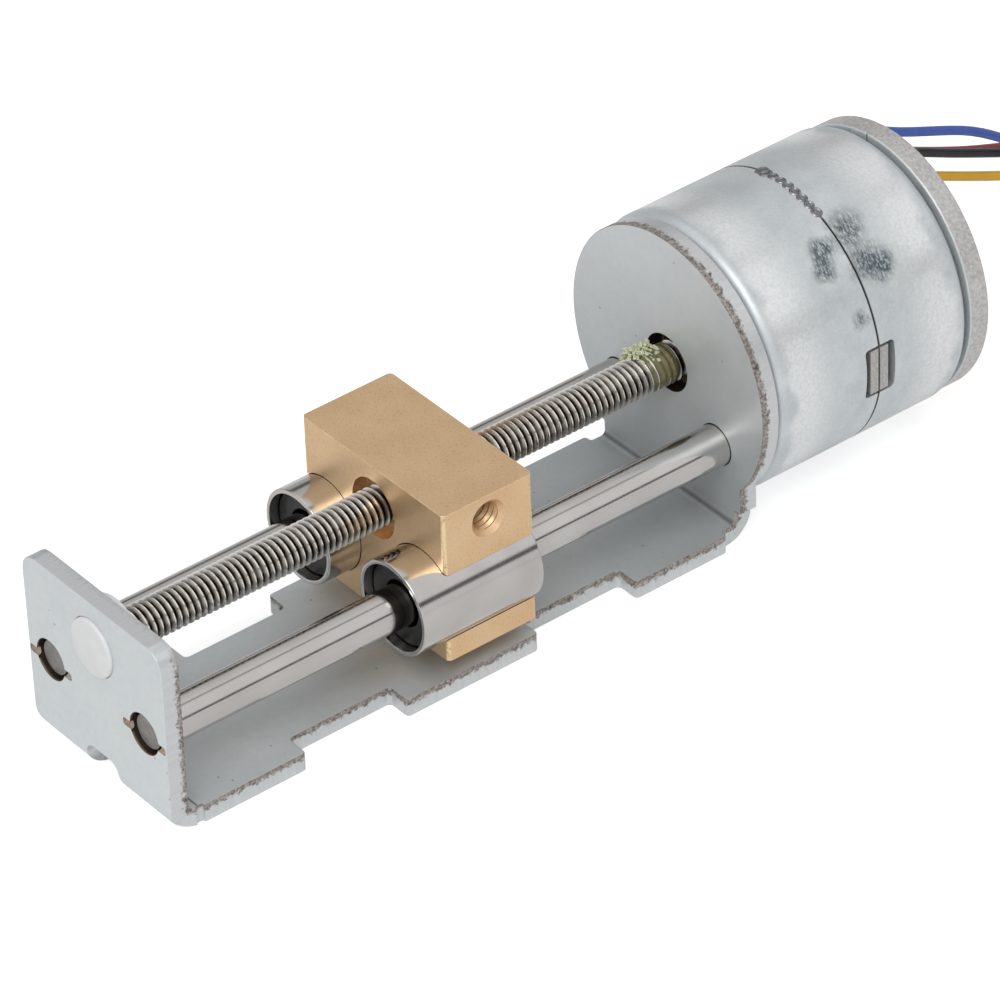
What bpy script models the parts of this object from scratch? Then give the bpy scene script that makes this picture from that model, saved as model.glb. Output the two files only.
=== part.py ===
"""Stepper-driven linear slide: a folded steel bracket holds two guide rods and a
can-stack stepper motor, whose lead screw drives a brass nut block on ball bushings.

Metres, +Z up. X runs along the screw, with the motor at +X. The origin is the middle
of the bracket's underside, so the slide stands on z = 0.
"""

import math

import bmesh
import bpy
from mathutils import Matrix, Vector

MM = 0.001

# Fits: static seats, running fits and the gap between stacked flat faces
PRESS_GAP = 0.05 * MM
RUNNING_GAP = 0.05 * MM
STACK_GAP = 0.1 * MM

# Cutters run this many times the thickness that they cut
CUT_THROUGH = 3

# Points closer than this count as one
TOUCHING = 0.001 * MM

# Bracket, folded from sheet: end plate, base with side tabs, round motor flange
SHEET = 1.4 * MM
FRAME_LENGTH = 49.3 * MM
FRAME_WIDTH = 15.2 * MM
WAIST_WIDTH = 11.4 * MM
PLATE_HEIGHT = 14.7 * MM
PLATE_CORNER = 1.4 * MM
FRONT_BEND = 0.5 * MM
REAR_BEND = 0.5 * MM
NECK_HEIGHT = 6.0 * MM
FLANGE_RADIUS = 10.05 * MM
NOTCHES = ((10.9 * MM, 19.2 * MM), (30.3 * MM, 38.7 * MM))
BEND_SLOT_DIAMETER = 3.5 * MM
BEND_SLOT_INSET = 1.3 * MM
FRONT_RELIEF = (2.0 * MM, 2.6 * MM)
FRONT_RELIEF_DEPTH = 0.25 * MM
REAR_RELIEF_LENGTH = 2.6 * MM
REAR_RELIEF_HEIGHT = 2.55 * MM
REAR_RELIEF_DEPTH = 0.6 * MM
STAKE_SLOT_LENGTH = 4.6 * MM
STAKE_SLOT_HEIGHT = 0.55 * MM
STAKE_SLOT_DEPTH = 0.45 * MM
STAKE_SLOT_DROP = 0.2 * MM

# Guide rods and lead screw
ROD_DIAMETER = 3.0 * MM
ROD_SPACING = 10.26 * MM
ROD_HEIGHT = 7.14 * MM
ROD_RECESS = 0.35 * MM
ROD_CHAMFER = 0.25 * MM
SCREW_DIAMETER = 2.9 * MM
SCREW_HEIGHT = 11.17 * MM
JOURNAL_DIAMETER = 2.0 * MM
SCREW_CLEAR_HOLE = 4.3 * MM

# End bush of white nylon in the end plate
BUSH_DIAMETER = 4.3 * MM
BUSH_PROUD = 0.12 * MM
BUSH_COLLAR_DIAMETER = 6.2 * MM
BUSH_COLLAR = 0.6 * MM
BUSH_BLIND_WALL = 0.5 * MM

# Brass nut block and its two ball bushings
BLOCK_LENGTH = 7.5 * MM
BLOCK_WIDTH = 14.9 * MM
BLOCK_TOP = 14.6 * MM
BLOCK_BOTTOM = 2.73 * MM
BLOCK_CORNER = 0.5 * MM
BLOCK_BEVEL = 0.15 * MM
BLOCK_FROM_PLATE = 22.8 * MM
COUNTERBORE_DIAMETER = 4.5 * MM
COUNTERBORE_DEPTH = 1.2 * MM
SIDE_HOLE_DIAMETER = 2.1 * MM
SIDE_HOLE_MOUTH = 2.75 * MM
SIDE_HOLE_DEPTH = 4.0 * MM
SIDE_HOLE_BELOW_TOP = 1.85 * MM
BEARING_LENGTH = 10.0 * MM
BEARING_DIAMETER = 7.0 * MM
BEARING_REAR_INSET = 0.12 * MM
SLEEVE_LIP = 1.2 * MM
SLEEVE_LIP_WALL = 0.35 * MM
RACEWAY_DIAMETER = 5.2 * MM
BALL_ROWS = 4
BALLS_PER_ROW = 3
BALL_PITCH = 1.8 * MM
CAGE_ROD_GAP = 0.3 * MM
CAGE_RACE_GAP = 0.25 * MM
CAGE_INSET = 0.8 * MM

# Motor: two cups that meet at a seam, and a thick rear plate
CUP_RADIUS = 10.2 * MM
CUP_WALL = 0.8 * MM
CUP_CORNER = 0.8 * MM
FRONT_CUP_LENGTH = 8.75 * MM
REAR_CUP_LENGTH = 7.95 * MM
SEAM_GAP = 0.06 * MM
REAR_PLATE = 1.65 * MM
REAR_PLATE_RADIUS = 10.03 * MM
REAR_PLATE_GAP = 0.3 * MM
POLES = 5
CLAW_INNER_RADIUS = 5.4 * MM
CLAW_THICKNESS = 0.7 * MM
CLAW_TIP_GAP = 0.4 * MM
CLAW_ROOT = 0.4 * MM
CLAW_ROOT_ANGLE = 34.0
CLAW_TIP_ANGLE = 20.0
YOKE_SHEET = 0.7 * MM
YOKE_CLEARANCE = 0.15 * MM
YOKE_EAR_HEIGHT = 3.5 * MM
YOKE_EAR_RECESS = 0.15 * MM
WINDOW_HEIGHT = 3.9 * MM
WINDOW_FRONT = 1.1 * MM
WINDOW_REAR = 1.15 * MM
BOBBIN_CLEARANCE = 0.25 * MM
BOBBIN_WALL = 0.5 * MM
WINDING_BELOW_FLANGE = 0.35 * MM
AIR_GAP = 0.4 * MM
MAGNET_END_GAP = 0.28 * MM
HUB_RADIUS = 3.2 * MM
MOTOR_BUSH_RADIUS = 2.1 * MM
MOTOR_BUSH_FLANGE_RADIUS = 2.9 * MM
MOTOR_BUSH_FLANGE = 0.4 * MM
WASHER_THICKNESS = 0.25 * MM
WASHER_RADIUS = 2.0 * MM

# Terminal block on the far side, and the four leads
TERMINAL_LENGTH = 7.6 * MM
TERMINAL_HEIGHT = 3.9 * MM
TERMINAL_SEAT_GAP = 0.3 * MM
TERMINAL_PROUD = 1.2 * MM
TERMINAL_BEVEL = 0.2 * MM
PIN_SPREAD = 4.2 * MM
PIN_ROW_GAP = 2.0 * MM
PIN_RADIUS = 0.25 * MM
SOLDER_RADIUS = 0.42 * MM
SOLDER_FOOT_ANGLE = 130
REAR_PIN_REACH = 1.2 * MM
FRONT_PIN_REACH = 2.1 * MM
LEAD_DIAMETER = 0.72 * MM
LEAD_STEP = 3.0
COIL_CENTRE = (78.85 * MM, 6.4 * MM)
COIL_COLUMNS = {"red": 7.7 * MM, "black": 6.7 * MM, "blue": 5.7 * MM, "yellow": 4.7 * MM}
COIL_INNER_RADIUS = 4.2 * MM
COIL_OUTER_RADIUS = 8.2 * MM
COIL_BASE = 0.3 * MM
COIL_HEIGHT = 1.6 * MM
TIE_WIDTH = 1.6 * MM
TIE_THICKNESS = 0.2 * MM
COIL_EXIT_GAP = 0.3 * MM
TAIL_LENGTH = 5.0 * MM
TIP_LENGTH = 3.0 * MM
TIP_DIAMETER = 0.4 * MM

# Smoothness of round pieces
VISIBLE_SEGMENTS = 40
ROD_SEGMENTS = 20
HIDDEN_SEGMENTS = 24
SMALL_SEGMENTS = 16
BALL_SEGMENTS = 8
BEND_STEPS = 6
CORNER_STEPS = 4
ROUTE_STEPS = 20

# Places that follow from the sizes above
PLATE_FACE = -FRAME_LENGTH / 2
PLATE_INSIDE = PLATE_FACE + SHEET
FLANGE_BACK = FRAME_LENGTH / 2
FLANGE_FRONT = FLANGE_BACK - SHEET
ROD_Y = ROD_SPACING / 2
BLOCK_FRONT = PLATE_FACE + BLOCK_FROM_PLATE
BLOCK_REAR = BLOCK_FRONT + BLOCK_LENGTH
BEARING_REAR = BLOCK_REAR - BEARING_REAR_INSET
BEARING_FRONT = BEARING_REAR - BEARING_LENGTH
FRONT_CUP_START = FLANGE_BACK + STACK_GAP
SEAM = FRONT_CUP_START + FRONT_CUP_LENGTH
REAR_CUP_START = SEAM + SEAM_GAP
REAR_CUP_END = REAR_CUP_START + REAR_CUP_LENGTH
REAR_PLATE_START = REAR_CUP_END + REAR_PLATE_GAP
REAR_PLATE_END = REAR_PLATE_START + REAR_PLATE
CUP_BORE = CUP_RADIUS - CUP_WALL
CLAW_OUTER_RADIUS = CLAW_INNER_RADIUS + CLAW_THICKNESS
YOKE_RADIUS = CUP_BORE - YOKE_CLEARANCE
BOBBIN_RADIUS = CUP_BORE - BOBBIN_CLEARANCE


def clear_scene():
    for obj in list(bpy.data.objects):
        bpy.data.objects.remove(obj, do_unlink=True)


def make_material(name, color, roughness, metallic):
    mat = bpy.data.materials.new(name)
    mat.use_nodes = True
    shader = mat.node_tree.nodes["Principled BSDF"]
    shader.inputs["Base Color"].default_value = (*color, 1.0)
    shader.inputs["Roughness"].default_value = roughness
    shader.inputs["Metallic"].default_value = metallic
    return mat


def make_empty(name, location):
    obj = bpy.data.objects.new(name, None)
    obj.location = location
    bpy.context.scene.collection.objects.link(obj)
    return obj


def make_object(name, bm, material=None, location=(0, 0, 0), parent=None, smooth=None):
    """A mesh object from bm. location is in world coordinates, also under a parent."""
    bmesh.ops.recalc_face_normals(bm, faces=bm.faces[:])
    mesh = bpy.data.meshes.new(name)
    bm.to_mesh(mesh)
    bm.free()
    if smooth is not None:
        mesh.shade_smooth()
        mesh.set_sharp_from_angle(angle=math.radians(smooth))
    obj = bpy.data.objects.new(name, mesh)
    bpy.context.scene.collection.objects.link(obj)
    obj.location = Vector(location) - (parent.location if parent else Vector())
    obj.parent = parent
    if material:
        mesh.materials.append(material)
    return obj


def arc(centre, radius, start, end, steps):
    """Points of a round stretch from start to end, in degrees, both ends included."""
    angles = [math.radians(start + (end - start) * i / steps) for i in range(steps + 1)]
    return [(centre[0] + radius * math.cos(a), centre[1] + radius * math.sin(a)) for a in angles]


def extrude_outline(points, width):
    """A prism: an outline in the XZ plane, extruded along Y about y = 0."""
    bm = bmesh.new()
    face = bm.faces.new([bm.verts.new((x, -width / 2, z)) for x, z in points])
    swept = bmesh.ops.extrude_face_region(bm, geom=[face])
    moved = [v for v in swept["geom"] if isinstance(v, bmesh.types.BMVert)]
    bmesh.ops.translate(bm, verts=moved, vec=(0, width, 0))
    return bm


def revolve(profile, segments):
    """A turned body: a closed profile of (x, radius) points, spun about the X axis."""
    bm = bmesh.new()
    verts = [bm.verts.new((x, 0, r)) for x, r in profile]
    edges = [bm.edges.new(pair) for pair in zip(verts, verts[1:])]
    if profile[0][1] > 0 or profile[-1][1] > 0:
        edges.append(bm.edges.new((verts[-1], verts[0])))
    bmesh.ops.spin(bm, geom=verts + edges, cent=(0, 0, 0), axis=(1, 0, 0),
                   angle=math.tau, steps=segments)
    bmesh.ops.remove_doubles(bm, verts=bm.verts[:], dist=1e-7)
    return bm


def ring(start, end, inner, outer, segments):
    return revolve([(start, inner), (start, outer), (end, outer), (end, inner)], segments)


def cylinder(radius, length, segments, axis="X"):
    """A plain cylinder centred on the origin, along X, Y or Z."""
    bm = bmesh.new()
    turn = {"X": Matrix.Rotation(math.pi / 2, 4, "Y"), "Y": Matrix.Rotation(math.pi / 2, 4, "X"),
            "Z": Matrix.Identity(4)}[axis]
    bmesh.ops.create_cone(bm, cap_ends=True, segments=segments, radius1=radius,
                          radius2=radius, depth=length, matrix=turn)
    return bm


def box(low, high):
    bm = bmesh.new()
    size = Vector(high) - Vector(low)
    middle = (Vector(high) + Vector(low)) / 2
    bmesh.ops.create_cube(bm, size=1.0, matrix=Matrix.Translation(middle) @ Matrix.Diagonal((*size, 1)))
    return bm


def join(parts):
    """One bmesh from several that don't meet."""
    whole = bmesh.new()
    for bm in parts:
        mesh = bpy.data.meshes.new("joined")
        bm.to_mesh(mesh)
        bm.free()
        whole.from_mesh(mesh)
        bpy.data.meshes.remove(mesh)
    return whole


def cut(obj, name, bm, operation="DIFFERENCE", location=(0, 0, 0)):
    """Adds an exact Boolean of a hidden cutter, placed in world coordinates."""
    cutter = make_object(name, bm, location=location, parent=obj.parent)
    cutter.hide_render = True
    cutter.display_type = "WIRE"
    modifier = obj.modifiers.new(name, "BOOLEAN")
    modifier.operation = operation
    modifier.solver = "EXACT"
    modifier.object = cutter


def round_edges(bm, wanted, radius, segments):
    """Bevels the edges whose two ends both pass the test."""
    edges = [e for e in bm.edges if all(wanted(v.co) for v in e.verts)]
    bmesh.ops.bevel(bm, geom=edges, offset=radius, segments=segments, profile=0.5,
                    affect="EDGES", clamp_overlap=True)


def bracket_outline():
    """The bracket's section along its length: plate, bend, base, bend, neck."""
    outer_front = FRONT_BEND + SHEET
    outer_rear = REAR_BEND + SHEET
    inner_front = (PLATE_INSIDE + FRONT_BEND, outer_front)
    inner_rear = (FLANGE_FRONT - REAR_BEND, outer_rear)
    return [
        (PLATE_FACE, PLATE_HEIGHT),
        *arc((PLATE_FACE + outer_front, outer_front), outer_front, 180, 270, BEND_STEPS),
        *arc((FLANGE_BACK - outer_rear, outer_rear), outer_rear, 270, 360, BEND_STEPS),
        (FLANGE_BACK, NECK_HEIGHT),
        (FLANGE_FRONT, NECK_HEIGHT),
        *arc(inner_rear, REAR_BEND, 0, -90, CORNER_STEPS),
        *arc(inner_front, FRONT_BEND, 270, 180, BEND_STEPS),
        (PLATE_INSIDE, PLATE_HEIGHT),
    ]


def bracket_notches():
    """Two notches on each side give the base its waists, and smaller ones relieve each bend."""
    half = FRAME_WIDTH / 2
    edge = half + SHEET
    spans = [(a, b, WAIST_WIDTH / 2) for a, b in NOTCHES]
    spans.append((*FRONT_RELIEF, half - FRONT_RELIEF_DEPTH))
    low, high = -SHEET, SHEET + FRONT_BEND
    parts = []
    for start, end, inner in spans:
        for side in (-1, 1):
            ys = sorted((side * inner, side * edge))
            parts.append(box((PLATE_FACE + start, ys[0], low), (PLATE_FACE + end, ys[1], high)))
    for side in (-1, 1):
        ys = sorted((side * (half - REAR_RELIEF_DEPTH), side * edge))
        parts.append(box((FLANGE_BACK - REAR_RELIEF_LENGTH, ys[0], low),
                         (FLANGE_BACK + SHEET, ys[1], REAR_RELIEF_HEIGHT)))
    return join(parts)


def stake_slots():
    """The punch that stakes each rod in the end plate leaves a slot across its hole."""
    half = STAKE_SLOT_LENGTH / 2
    low = ROD_HEIGHT - STAKE_SLOT_DROP - STAKE_SLOT_HEIGHT / 2
    return join([box((PLATE_FACE - SHEET, y - half, low),
                     (PLATE_FACE + STAKE_SLOT_DEPTH, y + half, low + STAKE_SLOT_HEIGHT))
                 for y in (-ROD_Y, ROD_Y)])


def add_bracket(material):
    bm = extrude_outline(bracket_outline(), FRAME_WIDTH)
    half = FRAME_WIDTH / 2
    round_edges(bm, lambda co: abs(co.z - PLATE_HEIGHT) < TOUCHING and abs(abs(co.y) - half) < TOUCHING,
                PLATE_CORNER, BEND_STEPS)
    obj = make_object("bracket", bm, material, smooth=30)
    disc = cylinder(FLANGE_RADIUS, SHEET, VISIBLE_SEGMENTS)
    cut(obj, "flange_disc", disc, "UNION", (FLANGE_BACK - SHEET / 2, 0, SCREW_HEIGHT))
    cut(obj, "side_notches", bracket_notches())
    through = CUT_THROUGH * SHEET
    plate_middle = PLATE_FACE + SHEET / 2
    flange_middle = FLANGE_BACK - SHEET / 2
    bush_hole = cylinder(BUSH_DIAMETER / 2 + PRESS_GAP, through, ROD_SEGMENTS)
    cut(obj, "bush_hole", bush_hole, location=(plate_middle, 0, SCREW_HEIGHT))
    screw_hole = cylinder(SCREW_CLEAR_HOLE / 2, through, ROD_SEGMENTS)
    cut(obj, "screw_hole", screw_hole, location=(flange_middle, 0, SCREW_HEIGHT))
    rod_hole = ROD_DIAMETER / 2 + PRESS_GAP
    for name, x in (("plate", plate_middle), ("flange", flange_middle)):
        for side, y in (("near", -ROD_Y), ("far", ROD_Y)):
            hole = cylinder(rod_hole, through, ROD_SEGMENTS)
            cut(obj, f"{name}_{side}_rod_hole", hole, location=(x, y, ROD_HEIGHT))
    cut(obj, "stake_slots", stake_slots())
    slot = cylinder(BEND_SLOT_DIAMETER / 2, CUT_THROUGH * (SHEET + BEND_SLOT_INSET), SMALL_SEGMENTS, "Z")
    bmesh.ops.rotate(slot, verts=slot.verts[:], matrix=Matrix.Rotation(-math.pi / 4, 3, "Y"))
    cut(obj, "bend_slot", slot, location=(PLATE_FACE + BEND_SLOT_INSET, 0, BEND_SLOT_INSET))


def add_end_bush(material):
    """Nylon bush, pressed in from inside: its collar seats on the plate's inner face."""
    radius = BUSH_DIAMETER / 2
    bore = JOURNAL_DIAMETER / 2 + RUNNING_GAP
    outside = PLATE_FACE - BUSH_PROUD
    collar = PLATE_INSIDE + STACK_GAP
    profile = [
        (outside, 0),
        (outside, radius),
        (collar, radius),
        (collar, BUSH_COLLAR_DIAMETER / 2),
        (collar + BUSH_COLLAR, BUSH_COLLAR_DIAMETER / 2),
        (collar + BUSH_COLLAR, bore),
        (outside + BUSH_BLIND_WALL, bore),
        (outside + BUSH_BLIND_WALL, 0),
    ]
    make_object("end_bush", revolve(profile, ROD_SEGMENTS), material,
                (0, 0, SCREW_HEIGHT), smooth=30)


def add_guide_rods(material):
    radius = ROD_DIAMETER / 2
    start, end = PLATE_FACE + ROD_RECESS, FLANGE_BACK - ROD_RECESS
    profile = [
        (start, 0),
        (start, radius - ROD_CHAMFER),
        (start + ROD_CHAMFER, radius),
        (end - ROD_CHAMFER, radius),
        (end, radius - ROD_CHAMFER),
        (end, 0),
    ]
    for side, y in (("near", -ROD_Y), ("far", ROD_Y)):
        make_object(f"guide_rod_{side}", revolve(profile, ROD_SEGMENTS), material,
                    (0, y, ROD_HEIGHT), smooth=30)


def screw_places():
    """Where the screw's thread and journals start and end along X."""
    bush_floor = PLATE_FACE - BUSH_PROUD + BUSH_BLIND_WALL
    thread_start = PLATE_INSIDE + STACK_GAP + BUSH_COLLAR + STACK_GAP
    return bush_floor + STACK_GAP, thread_start, FLANGE_BACK, REAR_PLATE_END - STACK_GAP


def add_lead_screw(material, parent):
    """One piece: front journal, threaded length and the motor's plain shaft."""
    start, thread_start, thread_end, end = screw_places()
    journal, thread = JOURNAL_DIAMETER / 2, SCREW_DIAMETER / 2
    chamfer = thread - journal
    profile = [
        (start, 0),
        (start, journal),
        (thread_start, journal),
        (thread_start + chamfer, thread),
        (thread_end - chamfer, thread),
        (thread_end, journal),
        (end, journal),
        (end, 0),
    ]
    make_object("lead_screw", revolve(profile, ROD_SEGMENTS), material,
                (0, 0, SCREW_HEIGHT), parent, smooth=40)


def add_nut_block(material, parent):
    half = BLOCK_WIDTH / 2
    bm = box((BLOCK_FRONT, -half, BLOCK_BOTTOM), (BLOCK_REAR, half, BLOCK_TOP))
    upright = [edge for edge in bm.edges if abs(edge.verts[0].co.z - edge.verts[1].co.z) > TOUCHING]
    bmesh.ops.bevel(bm, geom=upright, offset=BLOCK_CORNER, segments=3, profile=0.5, affect="EDGES")
    level = [edge for edge in bm.edges if abs(edge.verts[0].co.z - edge.verts[1].co.z) < TOUCHING]
    bmesh.ops.bevel(bm, geom=level, offset=BLOCK_BEVEL, segments=1, profile=0.5, affect="EDGES")
    obj = make_object("nut_block", bm, material, parent=parent, smooth=30)
    middle = (BLOCK_FRONT + BLOCK_REAR) / 2
    through = CUT_THROUGH * BLOCK_LENGTH
    for side, y in (("near", -ROD_Y), ("far", ROD_Y)):
        bore = cylinder(BEARING_DIAMETER / 2 + PRESS_GAP, through, VISIBLE_SEGMENTS)
        cut(obj, f"bearing_bore_{side}", bore, location=(middle, y, ROD_HEIGHT))
    nut = cylinder(SCREW_DIAMETER / 2 + RUNNING_GAP, through, ROD_SEGMENTS)
    cut(obj, "nut_bore", nut, location=(middle, 0, SCREW_HEIGHT))
    recess = cylinder(COUNTERBORE_DIAMETER / 2, 2 * COUNTERBORE_DEPTH, ROD_SEGMENTS)
    cut(obj, "nut_counterbore", recess, location=(BLOCK_FRONT, 0, SCREW_HEIGHT))
    for side, sign in (("near", -1), ("far", 1)):
        cut(obj, f"side_hole_{side}", side_hole(sign),
            location=(middle, sign * half, BLOCK_TOP - SIDE_HOLE_BELOW_TOP))


def side_hole(sign):
    """A blind tapped hole with a countersunk mouth, from a side face inwards."""
    core, mouth = SIDE_HOLE_DIAMETER / 2, SIDE_HOLE_MOUTH / 2
    flare = mouth - core
    profile = [
        (-mouth, 0),
        (-mouth, mouth + mouth),
        (flare, core),
        (SIDE_HOLE_DEPTH, core),
        (SIDE_HOLE_DEPTH + core, 0),
    ]
    bm = revolve(profile, SMALL_SEGMENTS)
    bmesh.ops.rotate(bm, verts=bm.verts[:], matrix=Matrix.Rotation(-sign * math.pi / 2, 3, "Z"))
    return bm


def sleeve_profile():
    """Thin lips at both ends of the sleeve, and a thicker raceway between them."""
    outer = BEARING_DIAMETER / 2
    lip = outer - SLEEVE_LIP_WALL
    race = RACEWAY_DIAMETER / 2
    start, end = BEARING_FRONT, BEARING_REAR
    return [
        (start, lip),
        (start, outer),
        (end, outer),
        (end, lip),
        (end - SLEEVE_LIP, lip),
        (end - SLEEVE_LIP, race),
        (start + SLEEVE_LIP, race),
        (start + SLEEVE_LIP, lip),
    ]


def ball_places():
    """Centres of the balls along X, about the bushing's middle, and their orbit radius."""
    middle = (BEARING_FRONT + BEARING_REAR) / 2
    span = (BALLS_PER_ROW - 1) * BALL_PITCH
    xs = [middle - span / 2 + i * BALL_PITCH for i in range(BALLS_PER_ROW)]
    orbit = (ROD_DIAMETER / 2 + RACEWAY_DIAMETER / 2) / 2
    angles = [math.tau * (row + 0.5) / BALL_ROWS for row in range(BALL_ROWS)]
    return xs, orbit, angles


def ball_rows():
    xs, orbit, angles = ball_places()
    radius = orbit - ROD_DIAMETER / 2 - RUNNING_GAP
    whole = bmesh.new()
    for angle in angles:
        for x in xs:
            place = Matrix.Rotation(angle, 4, "X") @ Matrix.Translation((x, 0, orbit))
            bmesh.ops.create_uvsphere(whole, u_segments=BALL_SEGMENTS, v_segments=BALL_SEGMENTS // 2,
                                      radius=radius, matrix=place)
    return whole


def cage_profile():
    """A tube between two flanges, which close the sleeve's ends inside its lips."""
    inner = ROD_DIAMETER / 2 + CAGE_ROD_GAP
    outer = RACEWAY_DIAMETER / 2 - CAGE_RACE_GAP
    flange = BEARING_DIAMETER / 2 - SLEEVE_LIP_WALL - STACK_GAP
    thickness = SLEEVE_LIP - CAGE_INSET - STACK_GAP
    start, end = BEARING_FRONT + CAGE_INSET, BEARING_REAR - CAGE_INSET
    return [
        (start, inner),
        (start, flange),
        (start + thickness, flange),
        (start + thickness, outer),
        (end - thickness, outer),
        (end - thickness, flange),
        (end, flange),
        (end, inner),
    ]


def add_ball_bushing(side, y, sleeve_material, cage_material, parent):
    """Steel sleeve, and a moulded cage with its rows of balls snapped in."""
    place = (0, y, ROD_HEIGHT)
    make_object(f"bearing_sleeve_{side}", revolve(sleeve_profile(), VISIBLE_SEGMENTS),
                sleeve_material, place, parent, smooth=30)
    obj = make_object(f"bearing_cage_{side}", revolve(cage_profile(), HIDDEN_SEGMENTS),
                      cage_material, place, parent, smooth=30)
    cut(obj, f"ball_rows_{side}", ball_rows(), "UNION", place)


def claw_gaps(root, tip, direction, phase):
    """The tapered gaps between claws, from near their root to past their tips."""
    inner = CLAW_INNER_RADIUS - CLAW_THICKNESS
    outer = CLAW_OUTER_RADIUS + CUT_THROUGH * CLAW_THICKNESS
    pitch = 360 / POLES
    start = root + direction * CLAW_ROOT
    end = tip + direction * CLAW_THICKNESS
    parts = []
    for pole in range(POLES):
        middle = phase + pitch * (pole + 0.5)
        bm = bmesh.new()
        corners = []
        for x, claw in ((start, CLAW_ROOT_ANGLE), (end, CLAW_TIP_ANGLE)):
            half = (pitch - claw) / 2
            for radius, angle in ((inner, -half), (outer, -half), (outer, half), (inner, half)):
                a = math.radians(middle + angle)
                corners.append(bm.verts.new((x, radius * math.cos(a), radius * math.sin(a))))
        for face in ((0, 1, 2, 3), (4, 5, 6, 7), (0, 1, 5, 4), (1, 2, 6, 5), (2, 3, 7, 6), (3, 0, 4, 7)):
            bm.faces.new([corners[i] for i in face])
        bmesh.ops.recalc_face_normals(bm, faces=bm.faces[:])
        parts.append(bm)
    return join(parts)


def window_cutters():
    """The window for the yoke ears on the near side, and the terminal block's on the far."""
    half = WINDOW_HEIGHT / 2
    near = box((SEAM - WINDOW_FRONT, -CUP_RADIUS - CUP_WALL, -half),
               (REAR_CUP_START + WINDOW_REAR, -CUP_BORE + CUP_WALL, half))
    low, high = terminal_box()
    gap = Vector((STACK_GAP, 0, STACK_GAP))
    far = box(Vector(low) - gap - Vector((0, CUP_WALL, 0)), Vector(high) + gap)
    return join([near, far])


def terminal_box():
    """Corners of the terminal block, about the motor's axis."""
    middle = (SEAM + REAR_CUP_START) / 2
    seat = BOBBIN_RADIUS + TERMINAL_SEAT_GAP
    return ((middle - TERMINAL_LENGTH / 2, seat, -TERMINAL_HEIGHT / 2),
            (middle + TERMINAL_LENGTH / 2, CUP_RADIUS + TERMINAL_PROUD, TERMINAL_HEIGHT / 2))


def cup_profile(closed, mouth, hole):
    """A pressed cup with its outer claws: closed end at closed, rim at mouth."""
    inward = 1 if mouth > closed else -1
    corner = arc((0, CUP_RADIUS - CUP_CORNER), CUP_CORNER, 180, 90, CORNER_STEPS)
    rounded = [(closed + inward * (x + CUP_CORNER), r) for x, r in corner]
    wall = closed + inward * CUP_WALL
    tip = cup_claw_tip(mouth, inward)
    return [
        (closed, hole),
        *rounded,
        (mouth, CUP_RADIUS),
        (mouth, CUP_BORE),
        (wall, CUP_BORE),
        (wall, CLAW_OUTER_RADIUS),
        (tip, CLAW_OUTER_RADIUS),
        (tip, CLAW_INNER_RADIUS),
        (wall, CLAW_INNER_RADIUS),
        (wall, hole),
    ]


def cup_claw_tip(mouth, inward):
    """A cup's claws stop short of the inner yoke at its mouth."""
    return mouth - inward * (PRESS_GAP + YOKE_SHEET + CLAW_TIP_GAP)


def add_cup(name, closed, mouth, phase, material):
    hole = MOTOR_BUSH_RADIUS + PRESS_GAP
    direction = 1 if mouth > closed else -1
    obj = make_object(name, revolve(cup_profile(closed, mouth, hole), VISIBLE_SEGMENTS),
                      material, (0, 0, SCREW_HEIGHT), smooth=30)
    place = (0, 0, SCREW_HEIGHT)
    gaps = claw_gaps(closed + direction * CUP_WALL, cup_claw_tip(mouth, direction), direction, phase)
    cut(obj, f"{name}_claw_gaps", gaps, location=place)
    cut(obj, f"{name}_windows", window_cutters(), location=place)


def add_inner_yoke(name, face, cup_floor, phase, material):
    """A yoke plate at the seam with claws that reach back between the cup's claws."""
    direction = 1 if cup_floor > face else -1
    inside = face + direction * YOKE_SHEET
    tip = cup_floor - direction * CLAW_TIP_GAP
    profile = [
        (face, CLAW_INNER_RADIUS),
        (face, YOKE_RADIUS),
        (inside, YOKE_RADIUS),
        (inside, CLAW_OUTER_RADIUS),
        (tip, CLAW_OUTER_RADIUS),
        (tip, CLAW_INNER_RADIUS),
    ]
    place = (0, 0, SCREW_HEIGHT)
    obj = make_object(name, revolve(profile, HIDDEN_SEGMENTS), material, place, smooth=30)
    xs = sorted((face, inside))
    half = YOKE_EAR_HEIGHT / 2
    ear = box((xs[0], -CUP_RADIUS + YOKE_EAR_RECESS, -half), (xs[1], -YOKE_RADIUS + CUP_WALL, half))
    cut(obj, f"{name}_ear", ear, "UNION", place)
    cut(obj, f"{name}_claw_gaps", claw_gaps(inside, tip, direction, phase), location=place)


def add_bobbin(name, start, end, bobbin_material, wire_material):
    """A flanged spool and the winding on it."""
    bore = CLAW_OUTER_RADIUS + BOBBIN_CLEARANCE
    core = bore + BOBBIN_WALL
    place = (0, 0, SCREW_HEIGHT)
    profile = [
        (start, bore),
        (start, BOBBIN_RADIUS),
        (start + BOBBIN_WALL, BOBBIN_RADIUS),
        (start + BOBBIN_WALL, core),
        (end - BOBBIN_WALL, core),
        (end - BOBBIN_WALL, BOBBIN_RADIUS),
        (end, BOBBIN_RADIUS),
        (end, bore),
    ]
    make_object(f"{name}_bobbin", revolve(profile, HIDDEN_SEGMENTS), bobbin_material, place, smooth=30)
    inset = BOBBIN_WALL + STACK_GAP
    winding = ring(start + inset, end - inset, core + PRESS_GAP,
                   BOBBIN_RADIUS - WINDING_BELOW_FLANGE, HIDDEN_SEGMENTS)
    make_object(f"{name}_coil", winding, wire_material, place, smooth=30)


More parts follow.
